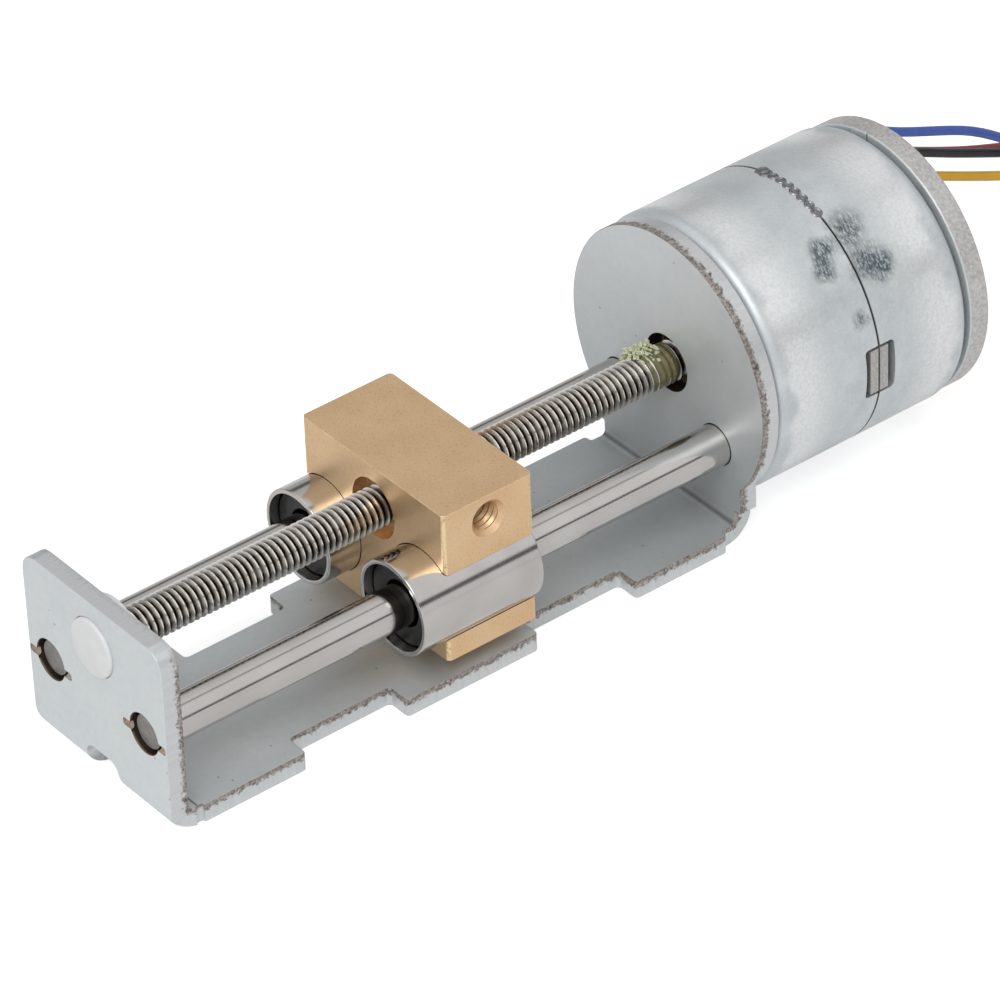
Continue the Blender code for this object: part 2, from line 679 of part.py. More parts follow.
def add_stator(steel, plastic, copper):
    add_cup("front_cup", FRONT_CUP_START, SEAM, 0.0, steel)
    add_cup("rear_cup", REAR_CUP_END, REAR_CUP_START, 0.25 * 360 / POLES, steel)
    half_pitch = 180 / POLES
    front_face = SEAM - PRESS_GAP
    rear_face = REAR_CUP_START + PRESS_GAP
    front_floor = FRONT_CUP_START + CUP_WALL
    rear_floor = REAR_CUP_END - CUP_WALL
    add_inner_yoke("front_inner_yoke", front_face, front_floor, half_pitch, steel)
    add_inner_yoke("rear_inner_yoke", rear_face, rear_floor, 1.5 * half_pitch, steel)
    add_bobbin("front", front_floor + STACK_GAP, front_face - YOKE_SHEET - STACK_GAP, plastic, copper)
    add_bobbin("rear", rear_face + YOKE_SHEET + STACK_GAP, rear_floor - STACK_GAP, plastic, copper)


def add_rear_plate(material):
    hole = MOTOR_BUSH_RADIUS + PRESS_GAP
    plate = ring(REAR_PLATE_START, REAR_PLATE_END, hole, REAR_PLATE_RADIUS, VISIBLE_SEGMENTS)
    make_object("rear_plate", plate, material, (0, 0, SCREW_HEIGHT), smooth=30)


def add_motor_bush(name, outside, inside, material):
    """A sintered bush pressed into an end wall, with its flange on the motor's inside."""
    inward = 1 if inside > outside else -1
    bore = JOURNAL_DIAMETER / 2 + RUNNING_GAP
    flange = inside + inward * STACK_GAP
    profile = [
        (outside, bore),
        (outside, MOTOR_BUSH_RADIUS),
        (flange, MOTOR_BUSH_RADIUS),
        (flange, MOTOR_BUSH_FLANGE_RADIUS),
        (flange + inward * MOTOR_BUSH_FLANGE, MOTOR_BUSH_FLANGE_RADIUS),
        (flange + inward * MOTOR_BUSH_FLANGE, bore),
    ]
    make_object(name, revolve(profile, ROD_SEGMENTS), material, (0, 0, SCREW_HEIGHT), smooth=30)


def add_motor_bushes(material):
    add_motor_bush("front_bearing", FRONT_CUP_START, FRONT_CUP_START + CUP_WALL, material)
    add_motor_bush("rear_bearing", REAR_PLATE_END - STACK_GAP, REAR_CUP_END - CUP_WALL, material)


def rotor_places():
    """The room for the rotor along X, between the two bushes' flanges."""
    front = FRONT_CUP_START + CUP_WALL + STACK_GAP + MOTOR_BUSH_FLANGE
    rear = REAR_CUP_END - CUP_WALL - STACK_GAP - MOTOR_BUSH_FLANGE
    return front, rear


def add_rotor(plastic, ferrite, steel, parent):
    """Hub and ring magnet on the screw's shaft, with a thrust washer at each end."""
    front, rear = rotor_places()
    place = (0, 0, SCREW_HEIGHT)
    shaft = JOURNAL_DIAMETER / 2
    clearance = WASHER_THICKNESS + 2 * STACK_GAP
    hub = ring(front + clearance, rear - clearance, shaft + PRESS_GAP, HUB_RADIUS, HIDDEN_SEGMENTS)
    make_object("rotor_hub", hub, plastic, place, parent, smooth=30)
    magnet = ring(front + MAGNET_END_GAP, rear - MAGNET_END_GAP, HUB_RADIUS + PRESS_GAP,
                  CLAW_INNER_RADIUS - AIR_GAP, HIDDEN_SEGMENTS)
    make_object("rotor_magnet", magnet, ferrite, place, parent, smooth=30)
    washer_starts = {"front": front + STACK_GAP, "rear": rear - STACK_GAP - WASHER_THICKNESS}
    for end, start in washer_starts.items():
        washer = ring(start, start + WASHER_THICKNESS, shaft + PRESS_GAP, WASHER_RADIUS, SMALL_SEGMENTS)
        make_object(f"thrust_washer_{end}", washer, steel, place, parent, smooth=30)


def pin_places():
    """Each lead's pin on the terminal block: x, tip y and z, about the motor's axis."""
    low, high = terminal_box()
    middle = (low[0] + high[0]) / 2
    face = high[1]
    rear_x, front_x = middle + PIN_SPREAD / 2, middle - PIN_SPREAD / 2
    upper, lower = PIN_ROW_GAP / 2, -PIN_ROW_GAP / 2
    return {
        "blue": (rear_x, face + REAR_PIN_REACH, upper),
        "yellow": (rear_x, face + REAR_PIN_REACH, lower),
        "red": (front_x, face + FRONT_PIN_REACH, upper),
        "black": (front_x, face + FRONT_PIN_REACH, lower),
    }


def add_terminals(plastic, tin):
    low, high = terminal_box()
    place = (0, 0, SCREW_HEIGHT)
    bm = box(low, high)
    obj = make_object("terminal_block", bm, plastic, place)
    bevel = obj.modifiers.new("edges", "BEVEL")
    bevel.width = TERMINAL_BEVEL
    bevel.segments = 2
    foot = high[1] + STACK_GAP
    for name, (x, tip, z) in pin_places().items():
        profile = [(foot, 0), (foot, PIN_RADIUS), (tip - SOLDER_RADIUS, PIN_RADIUS)]
        profile += [(tip + a, b) for a, b in arc((0, 0), SOLDER_RADIUS, SOLDER_FOOT_ANGLE, 0, CORNER_STEPS)]
        bm = revolve(profile[:-1] + [(tip + SOLDER_RADIUS, 0)], SMALL_SEGMENTS // 2)
        bmesh.ops.rotate(bm, verts=bm.verts[:], matrix=Matrix.Rotation(math.pi / 2, 3, "Z"))
        make_object(f"terminal_pin_{name}", bm, tin, (x, 0, z + SCREW_HEIGHT), smooth=40)


def lead_routes():
    """Chosen points of each lead, from its solder joint to where the coil begins."""
    start = {}
    for name, (x, y, z) in pin_places().items():
        reach = SOLDER_RADIUS + STACK_GAP
        start[name] = (x + reach, y, z + SCREW_HEIGHT)
    far = {
        "blue": [(38.6, 12.75, 12.9), (43.0, 12.6, 12.95), (49.4, 12.4, 12.2), (55.4, 12.3, 9.6),
                 (61.4, 12.35, 7.05), (65.4, 12.4, 4.5), (69.4, 12.4, 1.6), (72.3, 12.1, 0.55)],
        "red": [(34.4, 13.6, 11.9), (40.0, 13.9, 11.7), (47.4, 14.25, 10.5), (55.4, 14.4, 6.9),
                (61.4, 14.4, 4.25), (65.4, 14.35, 2.75), (69.4, 14.2, 1.6), (74.9, 14.1, 0.5)],
        "black": [(34.4, 13.65, 10.15), (40.0, 13.75, 10.35), (47.4, 13.5, 10.0), (55.4, 13.2, 7.35),
                  (61.4, 13.2, 4.7), (65.4, 13.25, 2.95), (69.4, 13.2, 1.3), (73.4, 13.1, 0.5)],
        "yellow": [(38.6, 12.7, 10.05), (43.0, 12.5, 9.9), (49.4, 12.2, 8.6), (55.4, 12.0, 6.0),
                   (61.4, 11.9, 3.35), (65.4, 11.75, 1.75), (69.4, 11.35, 0.62), (71.6, 11.1, 0.42)],
    }
    return {name: [start[name], *((x * MM, y * MM, z * MM) for x, y, z in points)]
            for name, points in far.items()}


def smooth_route(points, step):
    """Even points along a smooth curve through the chosen ones."""
    points = [Vector(p) for p in points]
    padded = [2 * points[0] - points[1], *points, 2 * points[-1] - points[-2]]
    fine = []
    for a, b, c, d in zip(padded, padded[1:], padded[2:], padded[3:]):
        for i in range(ROUTE_STEPS):
            t = i / ROUTE_STEPS
            fine.append(0.5 * (2 * b + (c - a) * t + (2 * a - 5 * b + 4 * c - d) * t * t
                               + (3 * b - a - 3 * c + d) * t ** 3))
    fine.append(points[-1])
    even, walked = [fine[0]], 0.0
    for a, b in zip(fine, fine[1:]):
        walked += (b - a).length
        if walked >= step:
            even.append(b)
            walked = 0.0
    if (even[-1] - fine[-1]).length < step / 2:
        even.pop()
    return [*even, fine[-1]]


def add_tube(name, points, diameter, material):
    curve = bpy.data.curves.new(name, "CURVE")
    curve.dimensions = "3D"
    curve.bevel_depth = diameter / 2
    curve.bevel_resolution = 2
    curve.use_fill_caps = True
    spline = curve.splines.new("POLY")
    spline.points.add(len(points) - 1)
    for point, place in zip(spline.points, points):
        point.co = (*place, 1)
    curve.materials.append(material)
    obj = bpy.data.objects.new(name, curve)
    bpy.context.scene.collection.objects.link(obj)


def add_leads(materials):
    for name, points in lead_routes().items():
        route = smooth_route(points, LEAD_STEP * LEAD_DIAMETER)
        add_tube(f"lead_{name}", route, LEAD_DIAMETER, materials[name])


def add_lead_coil(insulation, tie_material):
    """The rest of the leads, wound flat in one coil beside the motor, and its tie."""
    x, y = COIL_CENTRE
    top = COIL_BASE + COIL_HEIGHT
    section = [(COIL_BASE, COIL_INNER_RADIUS), (COIL_BASE, COIL_OUTER_RADIUS),
               (top, COIL_OUTER_RADIUS), (top, COIL_INNER_RADIUS)]
    bm = revolve(section, HIDDEN_SEGMENTS)
    bmesh.ops.rotate(bm, verts=bm.verts[:], matrix=Matrix.Rotation(-math.pi / 2, 3, "Y"))
    make_object("lead_coil", bm, insulation, (x, y, 0), smooth=30)
    gap = (COIL_BASE - TIE_THICKNESS) / 2
    inner, outer = COIL_INNER_RADIUS - 2 * gap, COIL_OUTER_RADIUS + 2 * gap
    low = COIL_BASE - gap
    high = top + gap
    half = TIE_WIDTH / 2
    tie = make_object("lead_tie", box((inner - TIE_THICKNESS, -half, low - TIE_THICKNESS),
                                      (outer + TIE_THICKNESS, half, high + TIE_THICKNESS)),
                      tie_material, (x, y, 0))
    cut(tie, "tie_window", box((inner, -TIE_WIDTH, low), (outer, TIE_WIDTH, high)), location=(x, y, 0))


def add_lead_ends(materials):
    """Four short tails out of the coil, side by side, each stripped and tinned at its tip."""
    x, y = COIL_CENTRE
    height = COIL_BASE + COIL_HEIGHT / 2
    lead, tip = LEAD_DIAMETER / 2, TIP_DIAMETER / 2
    for name, radius in COIL_COLUMNS.items():
        nearest = radius - lead
        start = x - math.sqrt(COIL_OUTER_RADIUS ** 2 - nearest ** 2) - COIL_EXIT_GAP
        stripped = start - TAIL_LENGTH
        profile = [(start, 0), (start, lead), (stripped, lead), (stripped, tip),
                   (stripped - TIP_LENGTH, tip), (stripped - TIP_LENGTH, 0)]
        bm = revolve(profile, SMALL_SEGMENTS // 2)
        make_object(f"lead_end_{name}", bm, materials[name], (0, y - radius, height), smooth=30)



clear_scene()

zinc = make_material("zinc_plated_steel", (0.56, 0.60, 0.61), 0.42, 1.0)
can_steel = make_material("galvanised_can_steel", (0.62, 0.65, 0.66), 0.45, 1.0)
polished = make_material("polished_steel", (0.72, 0.72, 0.72), 0.15, 1.0)
screw_steel = make_material("lead_screw_steel", (0.50, 0.48, 0.44), 0.30, 1.0)
brass = make_material("machined_brass", (0.68, 0.48, 0.27), 0.38, 1.0)
nylon = make_material("white_nylon", (0.80, 0.81, 0.80), 0.5, 0.0)
black_plastic = make_material("black_moulded_plastic", (0.02, 0.02, 0.02), 0.5, 0.0)
copper = make_material("enamelled_copper", (0.60, 0.25, 0.10), 0.35, 1.0)
ferrite = make_material("sintered_ferrite", (0.05, 0.05, 0.055), 0.6, 0.0)
bronze = make_material("sintered_bronze", (0.45, 0.30, 0.15), 0.5, 1.0)
tin = make_material("tinned_copper", (0.65, 0.65, 0.66), 0.3, 1.0)
blue_pvc = make_material("blue_pvc", (0.05, 0.12, 0.45), 0.4, 0.0)
black_pvc = make_material("black_pvc", (0.02, 0.02, 0.025), 0.4, 0.0)
red_pvc = make_material("red_pvc", (0.45, 0.03, 0.05), 0.4, 0.0)
yellow_pvc = make_material("yellow_pvc", (0.75, 0.45, 0.03), 0.4, 0.0)

screw_axis = make_empty("screw_axis", (0, 0, SCREW_HEIGHT))
carriage = make_empty("carriage", ((BLOCK_FRONT + BLOCK_REAR) / 2, 0, ROD_HEIGHT))

add_bracket(zinc)
add_end_bush(nylon)
add_guide_rods(polished)
add_lead_screw(screw_steel, screw_axis)
add_nut_block(brass, carriage)
for side_name, side_y in (("near", -ROD_Y), ("far", ROD_Y)):
    add_ball_bushing(side_name, side_y, polished, black_plastic, carriage)
add_stator(can_steel, black_plastic, copper)
add_rear_plate(zinc)
add_motor_bushes(bronze)
add_rotor(nylon, ferrite, polished, screw_axis)
add_terminals(black_plastic, tin)
lead_materials = {"blue": blue_pvc, "red": red_pvc, "black": black_pvc, "yellow": yellow_pvc}
add_leads(lead_materials)
add_lead_coil(black_pvc, black_plastic)
add_lead_ends(lead_materials)
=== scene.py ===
"""Looks of the stepper-driven linear slide, in the order in which it is put together.

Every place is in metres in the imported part's own frame: X runs along the lead screw
towards the motor, Z is up, and the bracket stands on z = 0.
"""

import math
import random

import bmesh
import bpy
from mathutils import Matrix, Vector, noise


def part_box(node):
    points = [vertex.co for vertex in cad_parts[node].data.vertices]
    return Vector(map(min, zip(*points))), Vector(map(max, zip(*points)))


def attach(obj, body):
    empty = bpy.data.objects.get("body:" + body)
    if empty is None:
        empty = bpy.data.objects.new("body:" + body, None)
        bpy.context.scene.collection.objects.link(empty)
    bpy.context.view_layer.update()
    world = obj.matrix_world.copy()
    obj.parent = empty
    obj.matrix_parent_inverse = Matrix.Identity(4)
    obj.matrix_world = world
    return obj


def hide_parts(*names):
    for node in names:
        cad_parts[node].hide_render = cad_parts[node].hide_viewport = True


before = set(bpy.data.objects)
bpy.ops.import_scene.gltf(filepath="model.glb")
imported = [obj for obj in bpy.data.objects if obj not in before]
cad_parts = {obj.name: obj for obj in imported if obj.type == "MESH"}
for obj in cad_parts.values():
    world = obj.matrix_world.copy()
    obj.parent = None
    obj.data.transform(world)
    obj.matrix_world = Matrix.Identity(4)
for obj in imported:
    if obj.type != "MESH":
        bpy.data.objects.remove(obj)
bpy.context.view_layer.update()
MM = 0.001

# The photograph's camera: a long lens, 47 cm away, a little above and before the slide.
# Its place and tilt were solved from the bracket's, rods' and motor's edges.


def placed(name, data):
    """An object made from its data and put in the scene."""
    obj = bpy.data.objects.new(name, data)
    bpy.context.scene.collection.objects.link(obj)
    return obj


camera = placed("camera", bpy.data.cameras.new("camera"))
camera.location = (-217.943 * MM, -297.962 * MM, 284.212 * MM)
camera.rotation_euler = [math.radians(angle) for angle in (53.4278, 1.8210, -38.6021)]
camera.data.lens = 250.56
camera.data.sensor_width = 36
camera.data.sensor_fit = "HORIZONTAL"
bpy.context.scene.camera = camera

# Bracket: one strip of 1.4 mm zinc-plated steel, blanked, pierced and folded twice.
# It is made here as the press makes it: a flat blank, then its two folds.
SHEET = 1.4 * MM
DIE_ROLL = 0.24 * MM
BURR_EDGE = 0.05 * MM
FRAME_LENGTH = 49.3 * MM
HALF_WIDTH = 7.6 * MM
HALF_WAIST = 5.7 * MM
PLATE_HEIGHT = 14.7 * MM
PLATE_CORNER = 1.4 * MM
FRONT_BEND = 0.5 * MM
REAR_BEND = 0.5 * MM
FLANGE_RADIUS = 10.05 * MM
NOTCHES = ((10.9 * MM, 19.2 * MM), (30.3 * MM, 38.7 * MM))
TAB_CORNER = 0.35 * MM
RELIEF_MOUTH = 0.05 * MM
RELIEF_CORNER = 0.2 * MM
NECK_CORNER = 0.1 * MM
# Reliefs beside the bends, each with its start, end and depth; the rear one ends on the neck
FRONT_RELIEF = (2.0 * MM, 2.6 * MM, 0.25 * MM)
REAR_RELIEF = (46.7 * MM, 2.55 * MM, 0.6 * MM)
# How far each bend draws the strip's edges in, and how far beyond the bend that reaches
FRONT_DRAW = 0.36 * MM
REAR_DRAW = 0.1 * MM
DRAW_REACH = 0.4 * MM
SCREW_HEIGHT = 11.17 * MM
ROD_HEIGHT = 7.14 * MM
ROD_Y = 5.13 * MM
ROD_HOLE = 1.55 * MM
BUSH_HOLE = 2.2 * MM
SCREW_HOLE = 2.15 * MM
# Half length, half width and corner of the slot pierced across the front bend
BEND_SLOT = (1.5 * MM, 1.8 * MM, 1.0 * MM)
# Depth, length, height and corner of the punch mark across each rod's hole
STAKE_SLOT = (0.3 * MM, 4.6 * MM, 0.6 * MM, 0.2 * MM)
STAKE_SLOT_DROP = 0.2 * MM

PLATE_FACE = -FRAME_LENGTH / 2
FLANGE_BACK = FRAME_LENGTH / 2
FRONT_FOLD = FRONT_BEND + SHEET
REAR_FOLD = REAR_BEND + SHEET

# Distances along the blank's middle layer, from the end plate's top to the flange's top
FOLD_1 = PLATE_HEIGHT - FRONT_FOLD
BASE_START = FOLD_1 + math.pi / 2 * (FRONT_BEND + SHEET / 2)
FOLD_2 = BASE_START + FRAME_LENGTH - FRONT_FOLD - REAR_FOLD
NECK_START = FOLD_2 + math.pi / 2 * (REAR_BEND + SHEET / 2)


def on_base(from_plate):
    return BASE_START + from_plate - FRONT_FOLD


def on_flange(height):
    return NECK_START + height - REAR_FOLD


def rounded(corners, steps=4):
    """An outline whose corners (x, y, radius) give way to round stretches."""
    points = []
    for i, (x, y, radius) in enumerate(corners):
        here = Vector((x, y))
        if not radius:
            points.append(here)
            continue
        before = (Vector(corners[i - 1][:2]) - here).normalized()
        after = (Vector(corners[(i + 1) % len(corners)][:2]) - here).normalized()
        half = before.angle(after) / 2
        middle = here + (before + after).normalized() * radius / math.sin(half)
        start = here + before * radius / math.tan(half) - middle
        end = here + after * radius / math.tan(half) - middle
        for k in range(steps + 1):
            turn = start.slerp(end, k / steps)
            points.append(middle + turn.normalized() * radius)
    return points


def circle(x, y, radius, steps=40):
    turns = [math.tau * i / steps for i in range(steps)]
    return [Vector((x + radius * math.cos(a), y + radius * math.sin(a))) for a in turns]


def blank_outline():
    """Half of the blank's edge, from the end plate's top to the flange's top, mirrored."""
    side = [(0, HALF_WIDTH, PLATE_CORNER)]
    start, end, depth = FRONT_RELIEF
    cuts = [(start, end, HALF_WIDTH - depth, RELIEF_MOUTH, RELIEF_CORNER)]
    cuts += [(*notch, HALF_WAIST, TAB_CORNER, TAB_CORNER) for notch in NOTCHES]
    for start, end, floor_y, mouth, corner in cuts:
        side += [(on_base(start), HALF_WIDTH, mouth), (on_base(start), floor_y, corner),
                 (on_base(end), floor_y, corner), (on_base(end), HALF_WIDTH, mouth)]
    start, end, depth = REAR_RELIEF
    relief = HALF_WIDTH - depth
    side += [(on_base(start), HALF_WIDTH, 0.3 * MM), (on_base(start), relief, 0.15 * MM),
             (on_flange(end), relief, NECK_CORNER), (on_flange(end), HALF_WIDTH, NECK_CORNER)]
    meets = math.asin(HALF_WIDTH / FLANGE_RADIUS)
    steps = 60
    middle = on_flange(SCREW_HEIGHT)
    for i in range(steps):
        turn = math.pi - meets - (math.pi - meets) * i / steps
        side.append((middle + FLANGE_RADIUS * math.cos(turn), FLANGE_RADIUS * math.sin(turn), 0))
    top = (middle + FLANGE_RADIUS, 0, 0)
    return side + [top] + [(x, -y, r) for x, y, r in reversed(side)]


def blank_holes():
    """The holes for bush, screw and rods, and the slot across the front bend."""
    bush = PLATE_HEIGHT - SCREW_HEIGHT
    rods = PLATE_HEIGHT - ROD_HEIGHT
    along, across, corner = BEND_SLOT
    middle = (FOLD_1 + BASE_START) / 2
    slot = [(middle + a * along, b * across, corner)
            for a, b in ((-1, -1), (1, -1), (1, 1), (-1, 1))]
    holes = [circle(bush, 0, BUSH_HOLE), circle(on_flange(SCREW_HEIGHT), 0, SCREW_HOLE),
             rounded(slot, 8)]
    for y in (-ROD_Y, ROD_Y):
        holes += [circle(rods, y, ROD_HOLE), circle(on_flange(ROD_HEIGHT), y, ROD_HOLE)]
    return holes


def evaluated_mesh(obj):
    """A new mesh with the object's modifiers applied."""
    return bpy.data.meshes.new_from_object(
        obj.evaluated_get(bpy.context.evaluated_depsgraph_get()))


def punched_sheet(name, outline, holes, thickness):
    """A flat plate with holes as a bmesh, centred on z = 0: rolled edges on top, burrs below."""
    curve = bpy.data.curves.new(name, "CURVE")
    curve.dimensions = "2D"
    curve.fill_mode = "BOTH"
    curve.extrude = thickness / 2
    for points in [outline, *holes]:
        spline = curve.splines.new("POLY")
        spline.points.add(len(points) - 1)
        for point, place in zip(spline.points, points):
            point.co = (*place, 0, 1)
        spline.use_cyclic_u = True
    obj = placed(name, curve)
    mesh = evaluated_mesh(obj)
    bm = bmesh.new()
    bm.from_mesh(mesh)
    bpy.data.objects.remove(obj)
    bpy.data.curves.remove(curve)
    bpy.data.meshes.remove(mesh)
    bmesh.ops.remove_doubles(bm, verts=bm.verts[:], dist=0.001 * MM)
    bmesh.ops.dissolve_limit(bm, angle_limit=0.001, verts=bm.verts[:], edges=bm.edges[:])
    outside = {(round(p[0] / MM, 3), round(p[1] / MM, 3)) for p in outline}
    for on_top, on_rim, width, steps in ((1, 1, DIE_ROLL, 3), (1, 0, BURR_EDGE, 1),
                                         (-1, 1, BURR_EDGE, 1), (-1, 0, BURR_EDGE, 1)):
        arris = []
        for edge in bm.edges:
            level = all(abs(v.co.z - on_top * thickness / 2) < 0.001 * MM for v in edge.verts)
            rims = [(round(v.co.x / MM, 3), round(v.co.y / MM, 3)) in outside for v in edge.verts]
            folded = edge.calc_face_angle(0) > 1.0
            if level and folded and all(r == bool(on_rim) for r in rims):
                arris.append(edge)
        bmesh.ops.bevel(bm, geom=arris, offset=width, segments=steps, profile=0.5, affect="EDGES",
                        clamp_overlap=True, miter_inner="ARC" if steps > 1 else "SHARP")
    return bm


def drawn(s, y, out):
    """Folding draws the strip's outer layers in at its edges and pushes the inner ones out."""
    for start, end, depth in ((FOLD_1, BASE_START, FRONT_DRAW), (FOLD_2, NECK_START, REAR_DRAW)):
        share = (s - start + DRAW_REACH) / (end - start + 2 * DRAW_REACH)
        if 0 < share < 1 and abs(y) > HALF_WIDTH - MM:
            pull = (depth / 3 + depth * out / SHEET * 2) * math.sin(math.pi * share) ** 2
            y -= math.copysign(pull, y)
    return y


def fold(co):
    """Where a point of the flat blank comes to lie: x along the blank, z towards its outside."""
    s, y, out = co
    y = drawn(s, y, out)
    if s < FOLD_1:
        return Vector((PLATE_FACE + SHEET / 2 - out, y, PLATE_HEIGHT - s))
    if s < BASE_START:
        turn = (s - FOLD_1) / (FRONT_BEND + SHEET / 2)
        reach = FRONT_BEND + SHEET / 2 + out
        return Vector((PLATE_FACE + FRONT_FOLD - reach * math.cos(turn), y,
                       FRONT_FOLD - reach * math.sin(turn)))
    if s < FOLD_2:
        return Vector((PLATE_FACE + FRONT_FOLD + s - BASE_START, y, SHEET / 2 - out))
    if s < NECK_START:
        turn = (s - FOLD_2) / (REAR_BEND + SHEET / 2)
        reach = REAR_BEND + SHEET / 2 + out
        return Vector((FLANGE_BACK - REAR_FOLD + reach * math.sin(turn), y,
                       REAR_FOLD - reach * math.cos(turn)))
    return Vector((FLANGE_BACK - SHEET / 2 + out, y, REAR_FOLD + s - NECK_START))


def finished(name, bm, materials, body, smooth=30):
    """A piece from a bmesh, shaded smooth up to an angle, that rides on a body."""
    mesh = bpy.data.meshes.new(name)
    bmesh.ops.recalc_face_normals(bm, faces=bm.faces[:])
    bm.to_mesh(mesh)
    bm.free()
    mesh.shade_smooth()
    mesh.set_sharp_from_angle(angle=math.radians(smooth))
    for material in materials:
        mesh.materials.append(material)
    obj = placed(name, mesh)
    weighted = obj.modifiers.new("face_weighted_normals", "WEIGHTED_NORMAL")
    weighted.keep_sharp = True
    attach(obj, body)
    return obj


def srgb(code):
    """A linear colour from an sRGB hex value."""
    parts = [int(code[i:i + 2], 16) / 255 for i in (1, 3, 5)]
    return (*(c / 12.92 if c < 0.04045 else ((c + 0.055) / 1.055) ** 2.4 for c in parts), 1)


def connect(tree, node, inputs):
    """Fills a node's inputs with values, sockets, or nodes, which stand for their live output."""
    for name, value in inputs.items():
        if isinstance(value, bpy.types.Node):
            value = next(output for output in value.outputs if output.enabled)
        if isinstance(value, bpy.types.NodeSocket):
            tree.links.new(value, node.inputs[name])
        else:
            node.inputs[name].default_value = value


def add_node(tree, kind, inputs=None, **settings):
    """A shader node with its settings, and with links or values for its inputs."""
    made = tree.nodes.new("ShaderNode" + kind)
    for name, value in settings.items():
        setattr(made, name, value)
    connect(tree, made, inputs or {})
    return made


def new_material(name):
    """An empty material, its node tree and its shader."""
    material = bpy.data.materials.new(name)
    material.use_nodes = True
    return material, material.node_tree, material.node_tree.nodes["Principled BSDF"]


def zinc_plated_steel():
    """Zinc-plated sheet, satin from the bath: pale blue-grey, faintly cloudy, fine dark pits.

    Its crystals are too fine to show, so the grain is drawn at 0.12 mm. Painted shade darkens
    the inner side in narrow stripes along the two bends, and the base softly towards the rear
    bend.
    """
    material, tree, shader = new_material("zinc_plated_steel")
    place = add_node(tree, "TexCoord").outputs["Object"]
    cloud = add_node(tree, "TexNoise", {"Vector": place, "Scale": 1 / (4 * MM), "Detail": 3.0})
    grain = add_node(tree, "TexNoise", {"Vector": place, "Scale": 1 / (0.12 * MM), "Detail": 2.0})
    fine = add_node(tree, "TexNoise", {"Vector": place, "Scale": 1 / (0.5 * MM), "Detail": 4.0})
    pits = add_node(tree, "TexVoronoi", {"Vector": place, "Scale": 1 / (1.6 * MM)})
    pit = add_node(tree, "MapRange", {0: pits, 1: 0.03, 2: 0.075, 3: 0.55, 4: 0.0})
    blend = add_node(tree, "Mix", {0: 0.4, 2: cloud, 3: fine}, data_type="FLOAT")
    tone = add_node(tree, "Mix", {0: blend, 6: srgb("#cbd2d5"), 7: srgb("#e8ebeb")},
                    data_type="RGBA")
    spotted = add_node(tree, "Mix", {0: pit, 6: tone, 7: srgb("#6d6a68")}, data_type="RGBA")
    blank = add_node(tree, "Attribute", attribute_name="blank").outputs["Vector"]
    axes = add_node(tree, "SeparateXYZ", {0: blank})
    inside = add_node(tree, "MapRange", {0: axes.outputs[2], 1: -0.45 * MM, 2: -0.4 * MM, 3: 1.0,
                                         4: 0.0})
    colour = spotted
    # Painted shade on the inner side: a thin dark stripe where the base leaves the front bend, a
    # dark stripe in the rear bend, and a soft darkening of the base towards the rear bend.
    for middle, width, soft, depth in ((BASE_START + 0.3 * MM, 0.02 * MM, 0.09 * MM, 0.75),
                                       ((FOLD_2 + NECK_START) / 2, 0.1 * MM, 0.6 * MM, 0.7),
                                       ((FOLD_2 + NECK_START) / 2, 1.0 * MM, 17.0 * MM, 0.26)):
        away = add_node(tree, "Math", {0: axes.outputs[0], 1: middle}, operation="SUBTRACT")
        apart = add_node(tree, "Math", {0: away}, operation="ABSOLUTE")
        painted_shade_line = add_node(tree, "MapRange", {0: apart, 1: width, 2: width + soft, 3: depth, 4: 0.0})
        painted_bend_shade = add_node(tree, "Math", {0: painted_shade_line, 1: inside}, operation="MULTIPLY")
        colour = add_node(tree, "Mix", {0: painted_bend_shade, 6: colour, 7: srgb("#343a3c")},
                          data_type="RGBA")
    rough = add_node(tree, "MapRange", {0: cloud, 1: 0.3, 2: 0.7, 3: 0.48, 4: 0.58})
    bump = add_node(tree, "Bump", {"Strength": 0.12, "Distance": 0.01 * MM, "Height": grain})
    connect(tree, shader, {"Base Color": colour, "Metallic": 0.58, "Roughness": rough,
                           "Normal": bump})
    return material


